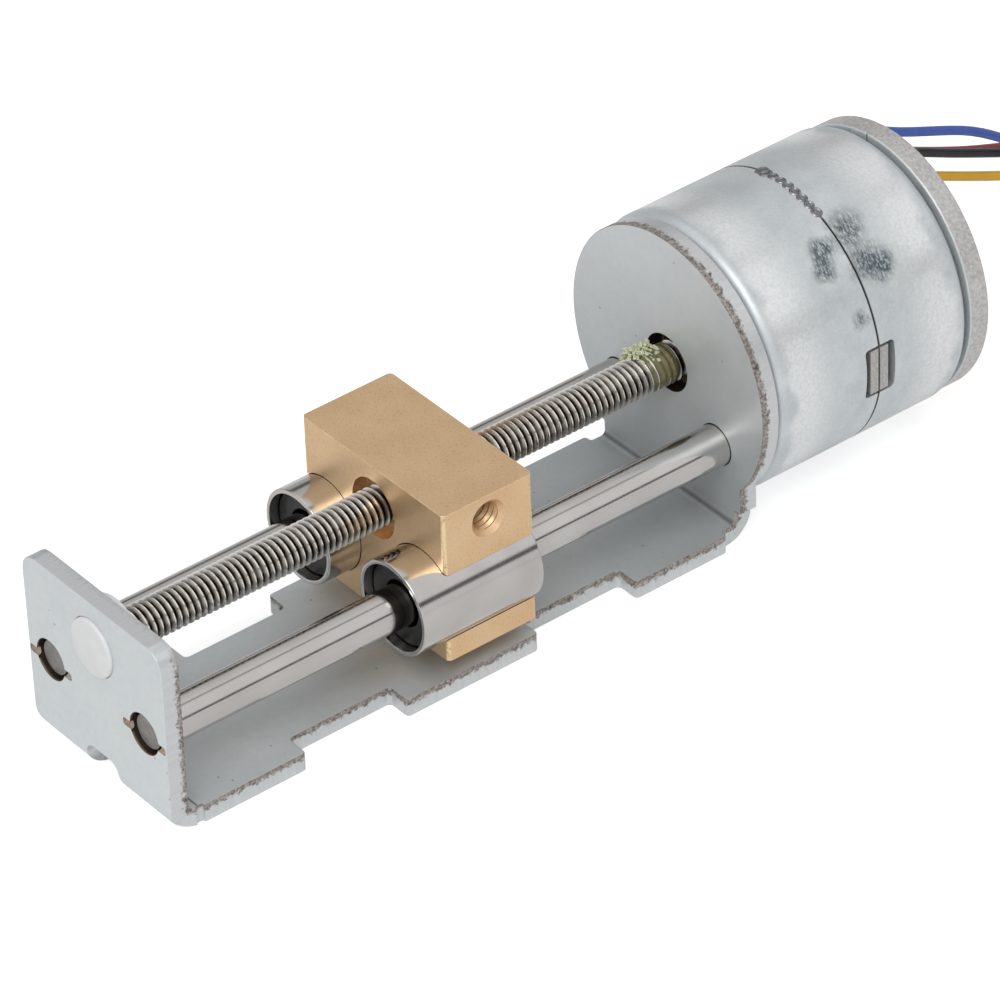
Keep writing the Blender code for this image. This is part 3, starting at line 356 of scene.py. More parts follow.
def sheared_steel():
    """A cut edge: bright and striated where it was sheared, grey-brown and rough where it tore.

    The tear takes the layer under torn_to, and a little more towards the motor.
    """
    torn_to = -0.2 * MM
    material, tree, shader = new_material("sheared_steel_edge")
    blank = add_node(tree, "Attribute", attribute_name="blank").outputs["Vector"]
    place = add_node(tree, "TexCoord").outputs["Object"]
    axes = add_node(tree, "SeparateXYZ", {0: blank})
    along = add_node(tree, "CombineXYZ", {0: axes.outputs[0], 1: axes.outputs[1]})
    streaks = add_node(tree, "TexNoise", {"Vector": along, "Scale": 1 / (0.22 * MM),
                                          "Detail": 3.0})
    torn = add_node(tree, "TexNoise", {"Vector": place, "Scale": 1 / (0.16 * MM), "Detail": 4.0,
                                       "Roughness": 0.7})
    ragged = add_node(tree, "TexNoise", {"Vector": place, "Scale": 1 / (0.4 * MM), "Detail": 5.0,
                                         "Roughness": 0.7})
    wander = add_node(tree, "MapRange", {0: ragged, 1: 0.3, 2: 0.7, 3: -0.3 * MM, 4: 0.3 * MM})
    near_plate = add_node(tree, "MapRange", {0: axes.outputs[0], 1: 14 * MM, 2: 60 * MM,
                                             3: 0.16 * MM, 4: 0.0})
    torn_out = add_node(tree, "Math", {0: axes.outputs[2], 1: near_plate}, operation="ADD")
    depth = add_node(tree, "Math", {0: torn_out, 1: wander}, operation="ADD")
    band = add_node(tree, "MapRange", {0: depth, 1: torn_to - 0.1 * MM, 2: torn_to + 0.1 * MM,
                                       3: 1.0, 4: 0.0})
    near_end = add_node(tree, "MapRange", {0: axes.outputs[0], 1: 0.2 * MM, 2: 1.2 * MM, 3: 0.15,
                                           4: 1.0})
    mask = add_node(tree, "Math", {0: band, 1: near_end}, operation="MULTIPLY")
    mottle = add_node(tree, "Mix", {0: 0.45, 2: streaks, 3: torn}, data_type="FLOAT")
    bright = add_node(tree, "Mix", {0: mottle, 6: srgb("#bec1c3"), 7: srgb("#e6e8e9")},
                      data_type="RGBA")
    coarse = add_node(tree, "MapRange", {0: torn, 1: 0.36, 2: 0.64, 3: 0.0, 4: 1.0})
    grey = add_node(tree, "Mix", {0: coarse, 6: srgb("#766c67"), 7: srgb("#c6c0bc")},
                    data_type="RGBA")
    specks = add_node(tree, "MapRange", {0: ragged, 1: 0.34, 2: 0.46, 3: 0.7, 4: 0.0})
    browned = add_node(tree, "Mix", {0: specks, 6: grey, 7: srgb("#4b3a34")}, data_type="RGBA")
    colour = add_node(tree, "Mix", {0: mask, 6: bright, 7: browned}, data_type="RGBA")
    rough = add_node(tree, "MapRange", {0: mask, 3: 0.4, 4: 0.7})
    relief = add_node(tree, "Math", {0: torn, 1: mask}, operation="MULTIPLY")
    bump = add_node(tree, "Bump", {"Strength": 0.5, "Distance": 0.03 * MM, "Height": relief})
    connect(tree, shader, {"Base Color": colour, "Metallic": 0.8, "Roughness": rough,
                           "Normal": bump})
    return material


def pierced_steel():
    """Walls of the rod and screw holes: mottled dark brown-black, with a tan rim where the rods
    were driven in.
    """
    material, tree, shader = new_material("pierced_hole_steel")
    place = add_node(tree, "TexCoord").outputs["Object"]
    blank = add_node(tree, "Attribute", attribute_name="blank").outputs["Vector"]
    out = add_node(tree, "SeparateXYZ", {0: blank}).outputs[2]
    # The walls are mottled between two dark tones.
    wall_mottle = add_node(tree, "TexNoise", {"Vector": place, "Scale": 1 / (0.4 * MM), "Detail": 3.0})
    dark = add_node(tree, "Mix", {0: wall_mottle, 6: srgb("#1d1916"), 7: srgb("#4e4239")},
                    data_type="RGBA")
    rim = add_node(tree, "MapRange", {0: out, 1: 0.5 * MM, 2: 0.66 * MM, 3: 0.0, 4: 1.0})
    colour = add_node(tree, "Mix", {0: rim, 6: dark, 7: srgb("#a08c72")}, data_type="RGBA")
    connect(tree, shader, {"Base Color": colour, "Metallic": 0.6, "Roughness": 0.5})
    return material


def folded_bracket():
    """The blank, cut across at its bends and folded; each point keeps its place on the blank."""
    bm = punched_sheet("blank", rounded(blank_outline()), blank_holes(), SHEET)
    for start, end, cuts in ((FOLD_1, BASE_START, 14), (FOLD_2, NECK_START, 10)):
        for i in range(cuts + 1):
            at = start + (end - start) * i / cuts
            bmesh.ops.bisect_plane(bm, geom=bm.verts[:] + bm.edges[:] + bm.faces[:], dist=1e-7,
                                   plane_co=(at, 0, 0), plane_no=(1, 0, 0))
    blank = bm.verts.layers.float_vector.new("blank")
    rods = Vector((PLATE_HEIGHT - ROD_HEIGHT, ROD_Y))
    for face in bm.faces:
        at = face.calc_center_median()
        off = (Vector((at.x, abs(at.y))) - rods).length
        screw = (abs(at.x - on_flange(SCREW_HEIGHT)) < SCREW_HOLE
                 and abs(at.y) < SCREW_HOLE + 0.1 * MM)
        pierced = screw or off < ROD_HOLE + 0.1 * MM
        level = face.normal.z > 0.15 or face.normal.z < -0.9
        face.material_index = 0 if level else 2 if pierced else 1
    for vert in bm.verts:
        vert[blank] = vert.co
        vert.co = fold(vert.co)
    return bm


zinc = zinc_plated_steel()
bracket = finished("folded_bracket", folded_bracket(), [zinc, sheared_steel(), pierced_steel()],
                   "frame")
for face in bracket.data.polygons:
    face.use_smooth = max(abs(face.normal.x), abs(face.normal.z)) < 0.9999


def boxed(low, high, edge=0.0, segments=2):
    """A box between two corners, with rounded edges."""
    bm = bmesh.new()
    size = Vector(high) - Vector(low)
    middle = (Vector(high) + Vector(low)) / 2
    place = Matrix.Translation(middle) @ Matrix.Diagonal((*size, 1))
    bmesh.ops.create_cube(bm, size=1.0, matrix=place)
    if edge:
        bmesh.ops.bevel(bm, geom=bm.edges[:], offset=edge, segments=segments, profile=0.5,
                        affect="EDGES")
    return bm


def cut_away(obj, bm, material=None):
    """Cuts a shape out of a piece for good; the cut faces take the material given."""
    mesh = bpy.data.meshes.new("cutter")
    bmesh.ops.recalc_face_normals(bm, faces=bm.faces[:])
    bm.to_mesh(mesh)
    bm.free()
    cutter = placed("cutter", mesh)
    if material:
        mesh.materials.append(material)
    modifier = obj.modifiers.new("cut", "BOOLEAN")
    modifier.solver = "MANIFOLD" if material else "EXACT"
    modifier.object = cutter
    modifier.material_mode = "TRANSFER" if material else "INDEX"
    while obj.modifiers[0] != modifier:
        obj.modifiers.move(len(obj.modifiers) - 1, 0)
    others = [(m, m.show_viewport) for m in obj.modifiers if m != modifier]
    for m, _ in others:
        m.show_viewport = False
    bpy.context.view_layer.update()
    result = evaluated_mesh(obj)
    for m, shown in others:
        m.show_viewport = shown
    obj.modifiers.remove(modifier)
    if material and material.name not in result.materials:
        result.materials.append(material)
    obj.data = result
    bpy.data.objects.remove(cutter)
    bpy.data.meshes.remove(mesh)


def mottled(name, tones, grain, detail, finish, bump=None, breakup=0.5):
    """A finish mottled between two tones. Bump holds its strength and depth."""
    material, tree, shader = new_material(name)
    place = add_node(tree, "TexCoord").outputs["Object"]
    mottle = add_node(tree, "TexNoise", {"Vector": place, "Scale": 1 / grain, "Detail": detail,
                                         "Roughness": breakup})
    dark, pale = map(srgb, tones)
    tone = add_node(tree, "Mix", {0: mottle, 6: dark, 7: pale}, data_type="RGBA")
    connect(tree, shader, {"Base Color": tone, **finish})
    if bump:
        strength, depth = bump
        relief = add_node(tree, "Bump", {"Strength": strength, "Distance": depth,
                                         "Height": mottle})
        connect(tree, shader, {"Normal": relief})
    return material


# Steel laid bare by the staking punch: brownish, oiled and dull
bare = mottled("bare_punched_steel", ("#8a7562", "#d2c4b4"), 0.5 * MM, 4.0,
               {"Metallic": 0.3, "Roughness": 0.5}, (0.4, 0.02 * MM))
for y in (-ROD_Y, ROD_Y):
    depth, length, height, corner = STAKE_SLOT
    middle = ROD_HEIGHT - STAKE_SLOT_DROP
    cut_away(bracket, boxed((PLATE_FACE - SHEET, y - length / 2, middle - height / 2),
                            (PLATE_FACE + depth, y + length / 2, middle + height / 2),
                            corner, 3), bare)
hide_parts("bracket")

# End bush: moulded white nylon, pressed into the end plate from inside against its collar.
# The screw's front journal runs in its blind bore.
BUSH_BODY_RADIUS = 2.15 * MM
BUSH_COLLAR = 0.6 * MM
BUSH_BOTTOM = 0.5 * MM
BUSH_EDGE = 0.1 * MM
BUSH_DOME = 0.14 * MM
# The collar keeps this much inside the solid's radius, clear of the sleeves at the front stop
BUSH_CLEARANCE = 0.12 * MM
JOURNAL_BORE = 1.05 * MM


def turned(profile, segments=96):
    """A turned body from (x, radius) points about the X axis through the origin."""
    bm = bmesh.new()
    verts = [bm.verts.new((x, 0, r)) for x, r in profile]
    edges = [bm.edges.new(pair) for pair in zip(verts, verts[1:])]
    if profile[0][1] > 0 or profile[-1][1] > 0:
        edges.append(bm.edges.new((verts[-1], verts[0])))
    bmesh.ops.spin(bm, geom=verts + edges, cent=(0, 0, 0), axis=(1, 0, 0), angle=math.tau,
                   steps=segments)
    bmesh.ops.remove_doubles(bm, verts=bm.verts[:], dist=1e-7)
    return bm


def soft_profile(corners):
    """A profile whose corners (x, radius, rounding) are softened."""
    return [tuple(p) for p in rounded(corners, 3)]


def moved(bm, x=0.0, y=0.0, z=0.0):
    bmesh.ops.translate(bm, verts=bm.verts[:], vec=(x, y, z))
    return bm


def white_nylon():
    """Natural nylon 66: milky white with a soft, slightly waxy skin."""
    material, tree, shader = new_material("white_nylon")
    place = add_node(tree, "TexCoord").outputs["Object"]
    haze = add_node(tree, "TexNoise", {"Vector": place, "Scale": 1 / (1.5 * MM), "Detail": 2.0})
    skin = add_node(tree, "TexNoise", {"Vector": place, "Scale": 1 / (0.1 * MM), "Detail": 2.0})
    tone = add_node(tree, "Mix", {0: haze, 6: srgb("#e4e6e6"), 7: srgb("#f1f2f2")},
                    data_type="RGBA")
    bump = add_node(tree, "Bump", {"Strength": 0.1, "Distance": 0.01 * MM, "Height": skin})
    connect(tree, shader, {"Base Color": tone, "Roughness": 0.42, "IOR": 1.53, "Normal": bump,
                           "Subsurface Weight": 0.15,
                           "Subsurface Radius": (0.6 * MM, 0.6 * MM, 0.6 * MM)})
    return material


nylon = white_nylon()
low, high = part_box("end_bush")
collar = high.x - BUSH_COLLAR
collar_radius = high.z - SCREW_HEIGHT - BUSH_CLEARANCE
bush_profile = soft_profile([
    (low.x - BUSH_DOME, 0, 0), (low.x - BUSH_DOME, BUSH_BODY_RADIUS, BUSH_DOME),
    (collar, BUSH_BODY_RADIUS, 0), (collar, collar_radius, BUSH_EDGE),
    (high.x, collar_radius, BUSH_EDGE), (high.x, JOURNAL_BORE, 0.05 * MM),
    (low.x + BUSH_BOTTOM, JOURNAL_BORE, 0), (low.x + BUSH_BOTTOM, 0, 0)])
bush = finished("nylon_end_bush", moved(turned(bush_profile), z=SCREW_HEIGHT), [nylon],
                "frame", 40)
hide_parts("end_bush")

# Guide rods: 3 mm hardened steel, ground and polished round, chamfered at both ends.
# Each sits in its two holes and is held by punch marks across the hole in the end plate.
ROD_RADIUS = 1.5 * MM
ROD_CHAMFER = 0.25 * MM
CHAMFER_ROUNDING = 0.05 * MM


def ground_steel(name, tones, ring, streak, smear, detail, dullest, relief):
    """Hardened steel, ground round: silvery, with very fine rings under a mirror.

    The rings are drawn coarser than the wheel leaves them, so that they show at all.
    """
    material, tree, shader = new_material(name)
    place = add_node(tree, "TexCoord").outputs["Object"]
    stretch = add_node(tree, "Mapping", {"Vector": place,
                                         "Scale": (1 / ring, 1 / streak, 1 / streak)})
    rings = add_node(tree, "TexNoise", {"Vector": stretch, "Scale": 1.0, "Detail": 3.0})
    cloud = add_node(tree, "TexNoise", {"Vector": place, "Scale": 1 / smear, "Detail": detail})
    dark, pale = map(srgb, tones)
    tone = add_node(tree, "Mix", {0: cloud, 6: dark, 7: pale}, data_type="RGBA")
    rough = add_node(tree, "MapRange", {0: rings, 1: 0.25, 2: 0.75, 3: 0.1, 4: dullest})
    bump = add_node(tree, "Bump", {"Strength": relief, "Distance": 0.005 * MM, "Height": rings})
    connect(tree, shader, {"Base Color": tone, "Metallic": 1.0, "Roughness": rough,
                           "Normal": bump})
    return material


polished = ground_steel("ground_polished_steel", ("#b3afac", "#cfcdca"), 0.08 * MM, 3 * MM,
                        5 * MM, 2.0, 0.2, 0.02)
# The rod's parted end: dull grey with turning rings and a few dark stains
parted = mottled("parted_rod_end", ("#635e5b", "#b5b0ac"), 0.5 * MM, 5.0,
                 {"Metallic": 0.8, "Roughness": 0.55}, (0.4, 0.02 * MM), 0.65)
for side in ("near", "far"):
    low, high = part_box(f"guide_rod_{side}")
    shoulders = [(low.x, ROD_RADIUS - ROD_CHAMFER), (low.x + ROD_CHAMFER, ROD_RADIUS),
                 (high.x - ROD_CHAMFER, ROD_RADIUS), (high.x, ROD_RADIUS - ROD_CHAMFER)]
    rod_profile = soft_profile([(low.x, 0, 0), *((x, r, CHAMFER_ROUNDING) for x, r in shoulders),
                                (high.x, 0, 0)])
    rod_body = turned(rod_profile, 64)
    rod_body.normal_update()
    for face in rod_body.faces:
        face.material_index = 1 if abs(face.normal.x) > 0.9 else 0
    rod = finished(f"polished_guide_rod_{side}",
                   moved(rod_body, y=(low.y + high.y) / 2, z=ROD_HEIGHT),
                   [polished, parted], "frame", 40)
    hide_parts(f"guide_rod_{side}")

# Lead screw: 3 mm stainless rod with a rolled 0.5 mm right-hand thread, one piece with
# the motor's shaft. The thread is a real helix; the plain journals stay turned.
PITCH = 0.5 * MM
CREST_RADIUS = 1.45 * MM
ROOT_RADIUS = 1.16 * MM
JOURNAL_RADIUS = 1.0 * MM
THREAD_START = -22.45 * MM
THREAD_END = 24.65 * MM
THREAD_TAPER = 0.8 * MM
THREAD_SHARES = (0.0, 0.07, 0.42, 0.5, 0.58, 0.93)
BAR_CORE = 0.2 * MM
TURN_STEPS = 40


def thread_profile(share):
    """The thread's radius at a share of one pitch: flat crest, round root, 60 degree flanks."""
    crest, root = 0.16, 0.14
    away = abs(share - 0.5) * 2
    flank = min(max((away - crest) / (1 - crest - root), 0.0), 1.0)
    return CREST_RADIUS + (ROOT_RADIUS - CREST_RADIUS) * flank


def screw_body():
    """A helical surface: rows step round the screw and each column rises one pitch a turn."""
    low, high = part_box("lead_screw")
    bm = bmesh.new()
    turns = int((THREAD_END - THREAD_START) / PITCH) + 1
    rows = []
    for step in range(TURN_STEPS):
        angle = math.tau * step / TURN_STEPS
        row = [(low.x, BAR_CORE), (low.x, JOURNAL_RADIUS), (THREAD_START, JOURNAL_RADIUS)]
        for turn in range(-1, turns + 1):
            for share in THREAD_SHARES:
                x = THREAD_START + (turn + share + step / TURN_STEPS) * PITCH
                x = min(max(x, THREAD_START), THREAD_END)
                fade = min((x - THREAD_START) / THREAD_TAPER, (THREAD_END - x) / THREAD_TAPER, 1.0)
                radius = JOURNAL_RADIUS + (thread_profile(share) - JOURNAL_RADIUS) * fade
                row.append((x, radius))
        row += [(THREAD_END, JOURNAL_RADIUS), (high.x, JOURNAL_RADIUS), (high.x, BAR_CORE)]
        rows.append([bm.verts.new((x, -r * math.sin(angle), r * math.cos(angle))) for x, r in row])
    for step in range(TURN_STEPS):
        here, there = rows[step], rows[(step + 1) % TURN_STEPS]
        for i in range(len(here) - 1):
            threaded = 3 <= i and i + 1 < len(here) - 3
            # The last row meets the first one a whole pitch further on
            shift = len(THREAD_SHARES) if threaded and step == TURN_STEPS - 1 else 0
            if not threaded or i + 1 + shift < len(there) - 3:
                bm.faces.new((here[i], here[i + 1], there[i + 1 + shift], there[i + shift]))
    bmesh.ops.remove_doubles(bm, verts=bm.verts[:], dist=1e-7)
    return moved(bm, z=SCREW_HEIGHT)


def rolled_thread_steel():
    """Stainless steel, thread-rolled: bright crests; the grooves darkened, partly as painted shade
    and partly as oily grime.
    """
    material, tree, shader = new_material("rolled_thread_stainless")
    place = add_node(tree, "TexCoord").outputs["Object"]
    axes = add_node(tree, "SeparateXYZ", {0: place})
    height = add_node(tree, "Math", {0: axes.outputs[2], 1: SCREW_HEIGHT}, operation="SUBTRACT")
    across = add_node(tree, "CombineXYZ", {1: axes.outputs[1], 2: height})
    radius = add_node(tree, "VectorMath", {0: across}, operation="LENGTH")
    groove = add_node(tree, "MapRange", {0: radius, 1: ROOT_RADIUS, 2: CREST_RADIUS, 3: 1.0,
                                         4: 0.0})
    grime = add_node(tree, "TexNoise", {"Vector": place, "Scale": 1 / (0.9 * MM), "Detail": 3.0})
    settled = add_node(tree, "MapRange", {0: grime, 1: 0.3, 2: 0.7, 3: 0.75, 4: 1.3})
    # Painted shade in the grooves, mottled as grime.
    groove_shade_and_grime = add_node(tree, "Math", {0: groove, 1: settled}, operation="MULTIPLY")
    colour = add_node(tree, "Mix", {0: groove_shade_and_grime, 6: srgb("#f0ebe4"), 7: srgb("#241d19")},
                      data_type="RGBA")
    rough = add_node(tree, "MapRange", {0: groove, 3: 0.2, 4: 0.4})
    connect(tree, shader, {"Base Color": colour, "Metallic": 1.0, "Roughness": rough})
    return material


screw = finished("rolled_lead_screw", screw_body(), [rolled_thread_steel()],
                 "rotor", 25)
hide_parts("lead_screw")

# Nut block: milled from brass bar, with two bushing bores that break out of its sides,
# the nut's thread between them and a tapped hole in each side face for the load.
BLOCK_EDGE = 0.24 * MM
BLOCK_CORNER = 0.35 * MM
BLOCK_SPREAD = 0.1 * MM  # wider than the solid on each side, as photographed
BUSHING_BORE = 3.55 * MM
NUT_BORE = 1.5 * MM
COUNTERBORE_RADIUS = 2.25 * MM
COUNTERBORE_DEPTH = 1.2 * MM
TAP_BELOW_TOP = 1.85 * MM
TAP_RADIUS = 1.05 * MM
TAP_MOUTH = 1.375 * MM
TAP_DEPTH = 4.0 * MM
TAP_PITCH = 0.45 * MM
TAP_GROOVE = 0.16 * MM
TAP_CONE = 0.6 * MM


def milled_brass():
    """Free-cutting brass, fine-milled: dull golden tan with faint cutter marks and nicks.

    The cutter's marks are drawn 0.09 mm apart, coarser than they are, so that they show.
    """
    material, tree, shader = new_material("milled_brass")
    place = add_node(tree, "TexCoord").outputs["Object"]
    across = (1 / (1.2 * MM), 1 / (0.09 * MM), 1 / (1.2 * MM))
    stretch = add_node(tree, "Mapping", {"Vector": place, "Scale": across})
    marks = add_node(tree, "TexNoise", {"Vector": stretch, "Scale": 1.0, "Detail": 4.0})
    cloud = add_node(tree, "TexNoise", {"Vector": place, "Scale": 1 / (3 * MM), "Detail": 3.0})
    grit = add_node(tree, "TexNoise", {"Vector": place, "Scale": 1 / (0.14 * MM), "Detail": 3.0})
    tone = add_node(tree, "Mix", {0: cloud, 6: srgb("#dcb68a"), 7: srgb("#edd0a9")},
                    data_type="RGBA")
    speck = add_node(tree, "MapRange", {0: grit, 1: 0.56, 2: 0.68, 3: 0.0, 4: 0.28})
    colour = add_node(tree, "Mix", {0: speck, 6: tone, 7: srgb("#9a7448")}, data_type="RGBA")
    both = add_node(tree, "Math", {0: marks, 1: grit}, operation="ADD")
    bump = add_node(tree, "Bump", {"Strength": 0.25, "Distance": 0.012 * MM, "Height": both})
    rough = add_node(tree, "MapRange", {0: marks, 1: 0.3, 2: 0.7, 3: 0.36, 4: 0.46})
    connect(tree, shader, {"Base Color": colour, "Metallic": 0.9, "Roughness": rough,
                           "Normal": bump})
    return material


def burnished_highlit_brass():
    """The block's edges, broken and burnished by a brush: brighter brass, nicked in places. The
    brighter tone is partly a painted highlight.
    """
    material, tree, shader = new_material("burnished_highlit_brass_edge")
    place = add_node(tree, "TexCoord").outputs["Object"]
    nicks = add_node(tree, "TexNoise", {"Vector": place, "Scale": 1 / (0.35 * MM), "Detail": 4.0,
                                        "Roughness": 0.65})
    worn = add_node(tree, "MapRange", {0: nicks, 1: 0.38, 2: 0.5, 3: 0.0, 4: 1.0})
    # Painted highlight in part: the pale edge tone stands in for the highlights along the edges.
    tone = add_node(tree, "Mix", {0: worn, 6: srgb("#d9b07c"), 7: srgb("#fbe0b2")},
                    data_type="RGBA")
    bump = add_node(tree, "Bump", {"Strength": 0.5, "Distance": 0.04 * MM, "Height": nicks})
    connect(tree, shader, {"Base Color": tone, "Metallic": 0.5, "Roughness": 0.3, "Normal": bump})
    return material


def rod_shape(start, end, radius, y, z, segments=96):
    """A solid bar along X, for cutting round holes."""
    profile = [(start, 0), (start, radius), (end, radius), (end, 0)]
    return moved(turned(profile, segments), y=y, z=z)


def tapped_hole(face_y, sign, x, z):
    """A countersunk blind hole along Y with the ridges of its thread."""
    profile = [(-MM, 0), (-MM, TAP_MOUTH), (0, TAP_MOUTH), (TAP_MOUTH - TAP_RADIUS, TAP_RADIUS)]
    turns = int(TAP_DEPTH / TAP_PITCH)
    for i in range(1, turns):
        at = TAP_MOUTH - TAP_RADIUS + i * TAP_PITCH
        profile += [(at - TAP_PITCH / 2, TAP_RADIUS + TAP_GROOVE), (at, TAP_RADIUS)]
    profile += [(TAP_DEPTH, TAP_RADIUS), (TAP_DEPTH + TAP_CONE, 0)]
    bm = turned(profile, 48)
    bmesh.ops.rotate(bm, verts=bm.verts[:], matrix=Matrix.Rotation(-sign * math.pi / 2, 3, "Z"))
    return moved(bm, x, face_y, z)


low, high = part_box("nut_block")
spread = Vector((0, BLOCK_SPREAD, 0))
block_body = boxed(low - spread, high + spread)
upright = [e for e in block_body.edges if abs(e.verts[0].co.z - e.verts[1].co.z) > MM]
bmesh.ops.bevel(block_body, geom=upright, offset=BLOCK_CORNER, segments=5, profile=0.5,
                affect="EDGES")
# The rounded corners, and later the softened edges, take the brighter edge brass, partly a painted
# highlight.
block_body.normal_update()
for face in block_body.faces:
    face.material_index = 1 if max(map(abs, face.normal)) < 0.97 else 0
block = finished("milled_nut_block", block_body, [milled_brass(), burnished_highlit_brass()],
                 "carriage")
for y in (-ROD_Y, ROD_Y):
    cut_away(block, rod_shape(low.x - MM, high.x + MM, BUSHING_BORE, y, ROD_HEIGHT))
cut_away(block, rod_shape(low.x - MM, high.x + MM, NUT_BORE, 0, SCREW_HEIGHT, 64))
cut_away(block, rod_shape(low.x - MM, low.x + COUNTERBORE_DEPTH, COUNTERBORE_RADIUS, 0,
                          SCREW_HEIGHT, 64))
softened = block.modifiers.new("softened_edges", "BEVEL")
softened.width = BLOCK_EDGE
softened.segments = 2
softened.material = 1
softened.limit_method = "ANGLE"
softened.angle_limit = math.radians(35)
block.modifiers.move(len(block.modifiers) - 1, 0)
block.data = evaluated_mesh(block)
block.modifiers.remove(block.modifiers["softened_edges"])
for sign, face_y in ((-1, low.y - BLOCK_SPREAD), (1, high.y + BLOCK_SPREAD)):
    cut_away(block, tapped_hole(face_y, sign, (low.x + high.x) / 2, high.z - TAP_BELOW_TOP))
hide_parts("nut_block")

# Ball bushings: a ground steel sleeve with rolled lips, pressed through the block, holds
# a black moulded cage. Its balls run on the rod and show as glints inside.
SLEEVE_EDGE = 0.12 * MM
LIP_EDGE = 0.05 * MM
LIP_DEPTH = 1.2 * MM
LIP_RADIUS = 3.15 * MM
RACEWAY_RADIUS = 2.6 * MM
CAGE_INSET = 0.8 * MM
CAGE_RADII = (1.72 * MM, 3.1 * MM)
CAGE_RING = 0.3 * MM
BALL_RADIUS = 0.5 * MM
BALL_CIRCLE = 2.05 * MM
BALL_FROM_END = 1.75 * MM


def ball_cage(start, end, y):
    """The cage: two rings joined by a thinner sleeve."""
    inner, outer = CAGE_RADII
    web = RACEWAY_RADIUS - 0.2 * MM
    bm = turned(soft_profile([
        (start, inner, 0.05 * MM), (start, outer, 0.1 * MM), (start + CAGE_RING, outer, 0),
        (start + CAGE_RING, web, 0), (end - CAGE_RING, web, 0), (end - CAGE_RING, outer, 0),
        (end, outer, 0.1 * MM), (end, inner, 0.05 * MM)]), 64)
    return moved(bm, y=y, z=ROD_HEIGHT)


def steel_balls(start, end, y):
    """The balls that show between the cage's end and the rod, in four rows."""
    bm = bmesh.new()
    for row in range(4):
        turn = Matrix.Rotation(math.tau * (row + 0.5) / 4, 4, "X")
        for at in (start + BALL_FROM_END, (start + end) / 2, end - BALL_FROM_END):
            place = (Matrix.Translation((0, y, ROD_HEIGHT)) @ turn
                     @ Matrix.Translation((at, 0, BALL_CIRCLE)))
            bmesh.ops.create_uvsphere(bm, u_segments=20, v_segments=12, radius=BALL_RADIUS,
                                      matrix=place)
    return bm


sleeve_steel = ground_steel("ground_sleeve_steel", ("#b1aeab", "#cecbc8"), 0.05 * MM, 2 * MM,
                            2.5 * MM, 3.0, 0.17, 0.03)
# Black moulded plastic with a fine satin skin
black_plastic = mottled("black_moulded_plastic", ("#060606", "#121213"), 0.12 * MM, 2.0,
                        {"Roughness": 0.45}, (0.2, 0.01 * MM))
for side, y in (("near", -ROD_Y), ("far", ROD_Y)):
    low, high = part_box(f"bearing_sleeve_{side}")
    radius = high.y - y
    sleeve_profile = soft_profile([
        (low.x, LIP_RADIUS, LIP_EDGE), (low.x, radius, SLEEVE_EDGE), (high.x, radius, SLEEVE_EDGE),
        (high.x, LIP_RADIUS, LIP_EDGE), (high.x - LIP_DEPTH, LIP_RADIUS, 0),
        (high.x - LIP_DEPTH, RACEWAY_RADIUS, 0), (low.x + LIP_DEPTH, RACEWAY_RADIUS, 0),
        (low.x + LIP_DEPTH, LIP_RADIUS, 0)])
    sleeve = finished(f"ground_sleeve_{side}", moved(turned(sleeve_profile), y=y, z=ROD_HEIGHT),
                      [sleeve_steel], "carriage", 40)
    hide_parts(f"bearing_sleeve_{side}")
    cage = finished(f"ball_cage_{side}", ball_cage(low.x + CAGE_INSET, high.x - CAGE_INSET, y),
                    [black_plastic], "carriage", 40)
    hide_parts(f"bearing_cage_{side}")
    finished(f"bushing_balls_{side}", steel_balls(low.x, high.x, y), [polished],
             "carriage", 60)

# Motor cans: two cups deep-drawn from zinc-coated steel, mouth to mouth. Both have a
# window at the seam for the inner yokes' ears and another for the terminal block.
CAN_RADIUS = 10.2 * MM
CAN_WALL = 0.8 * MM
CAN_CORNER = 0.8 * MM
CAN_LIP = 0.06 * MM
CAN_INNER_CORNER = 0.5 * MM
CAN_REAR = 41.51 * MM
SEAM_X = 33.53 * MM
MOTOR_BUSH_HOLE = 2.15 * MM
# Start, end and half height of the window for the ears, and how deep its cut goes
EAR_WINDOW = (32.3 * MM, 34.83 * MM, 1.95 * MM, 1.6 * MM)
TERMINAL_ROOM = 0.1 * MM
# Centre and reach in mm of each place where the die scraped the can
SCRAPES = (((32.2, -6.0, 19.4), 1.3), ((31.4, -6.9, 18.6), 1.0), ((34.5, -5.6, 19.7), 1.9),
           ((34.8, -7.4, 18.1), 1.8), ((35.6, -8.0, 17.4), 1.2), ((32.6, -9.3, 15.4), 0.9))


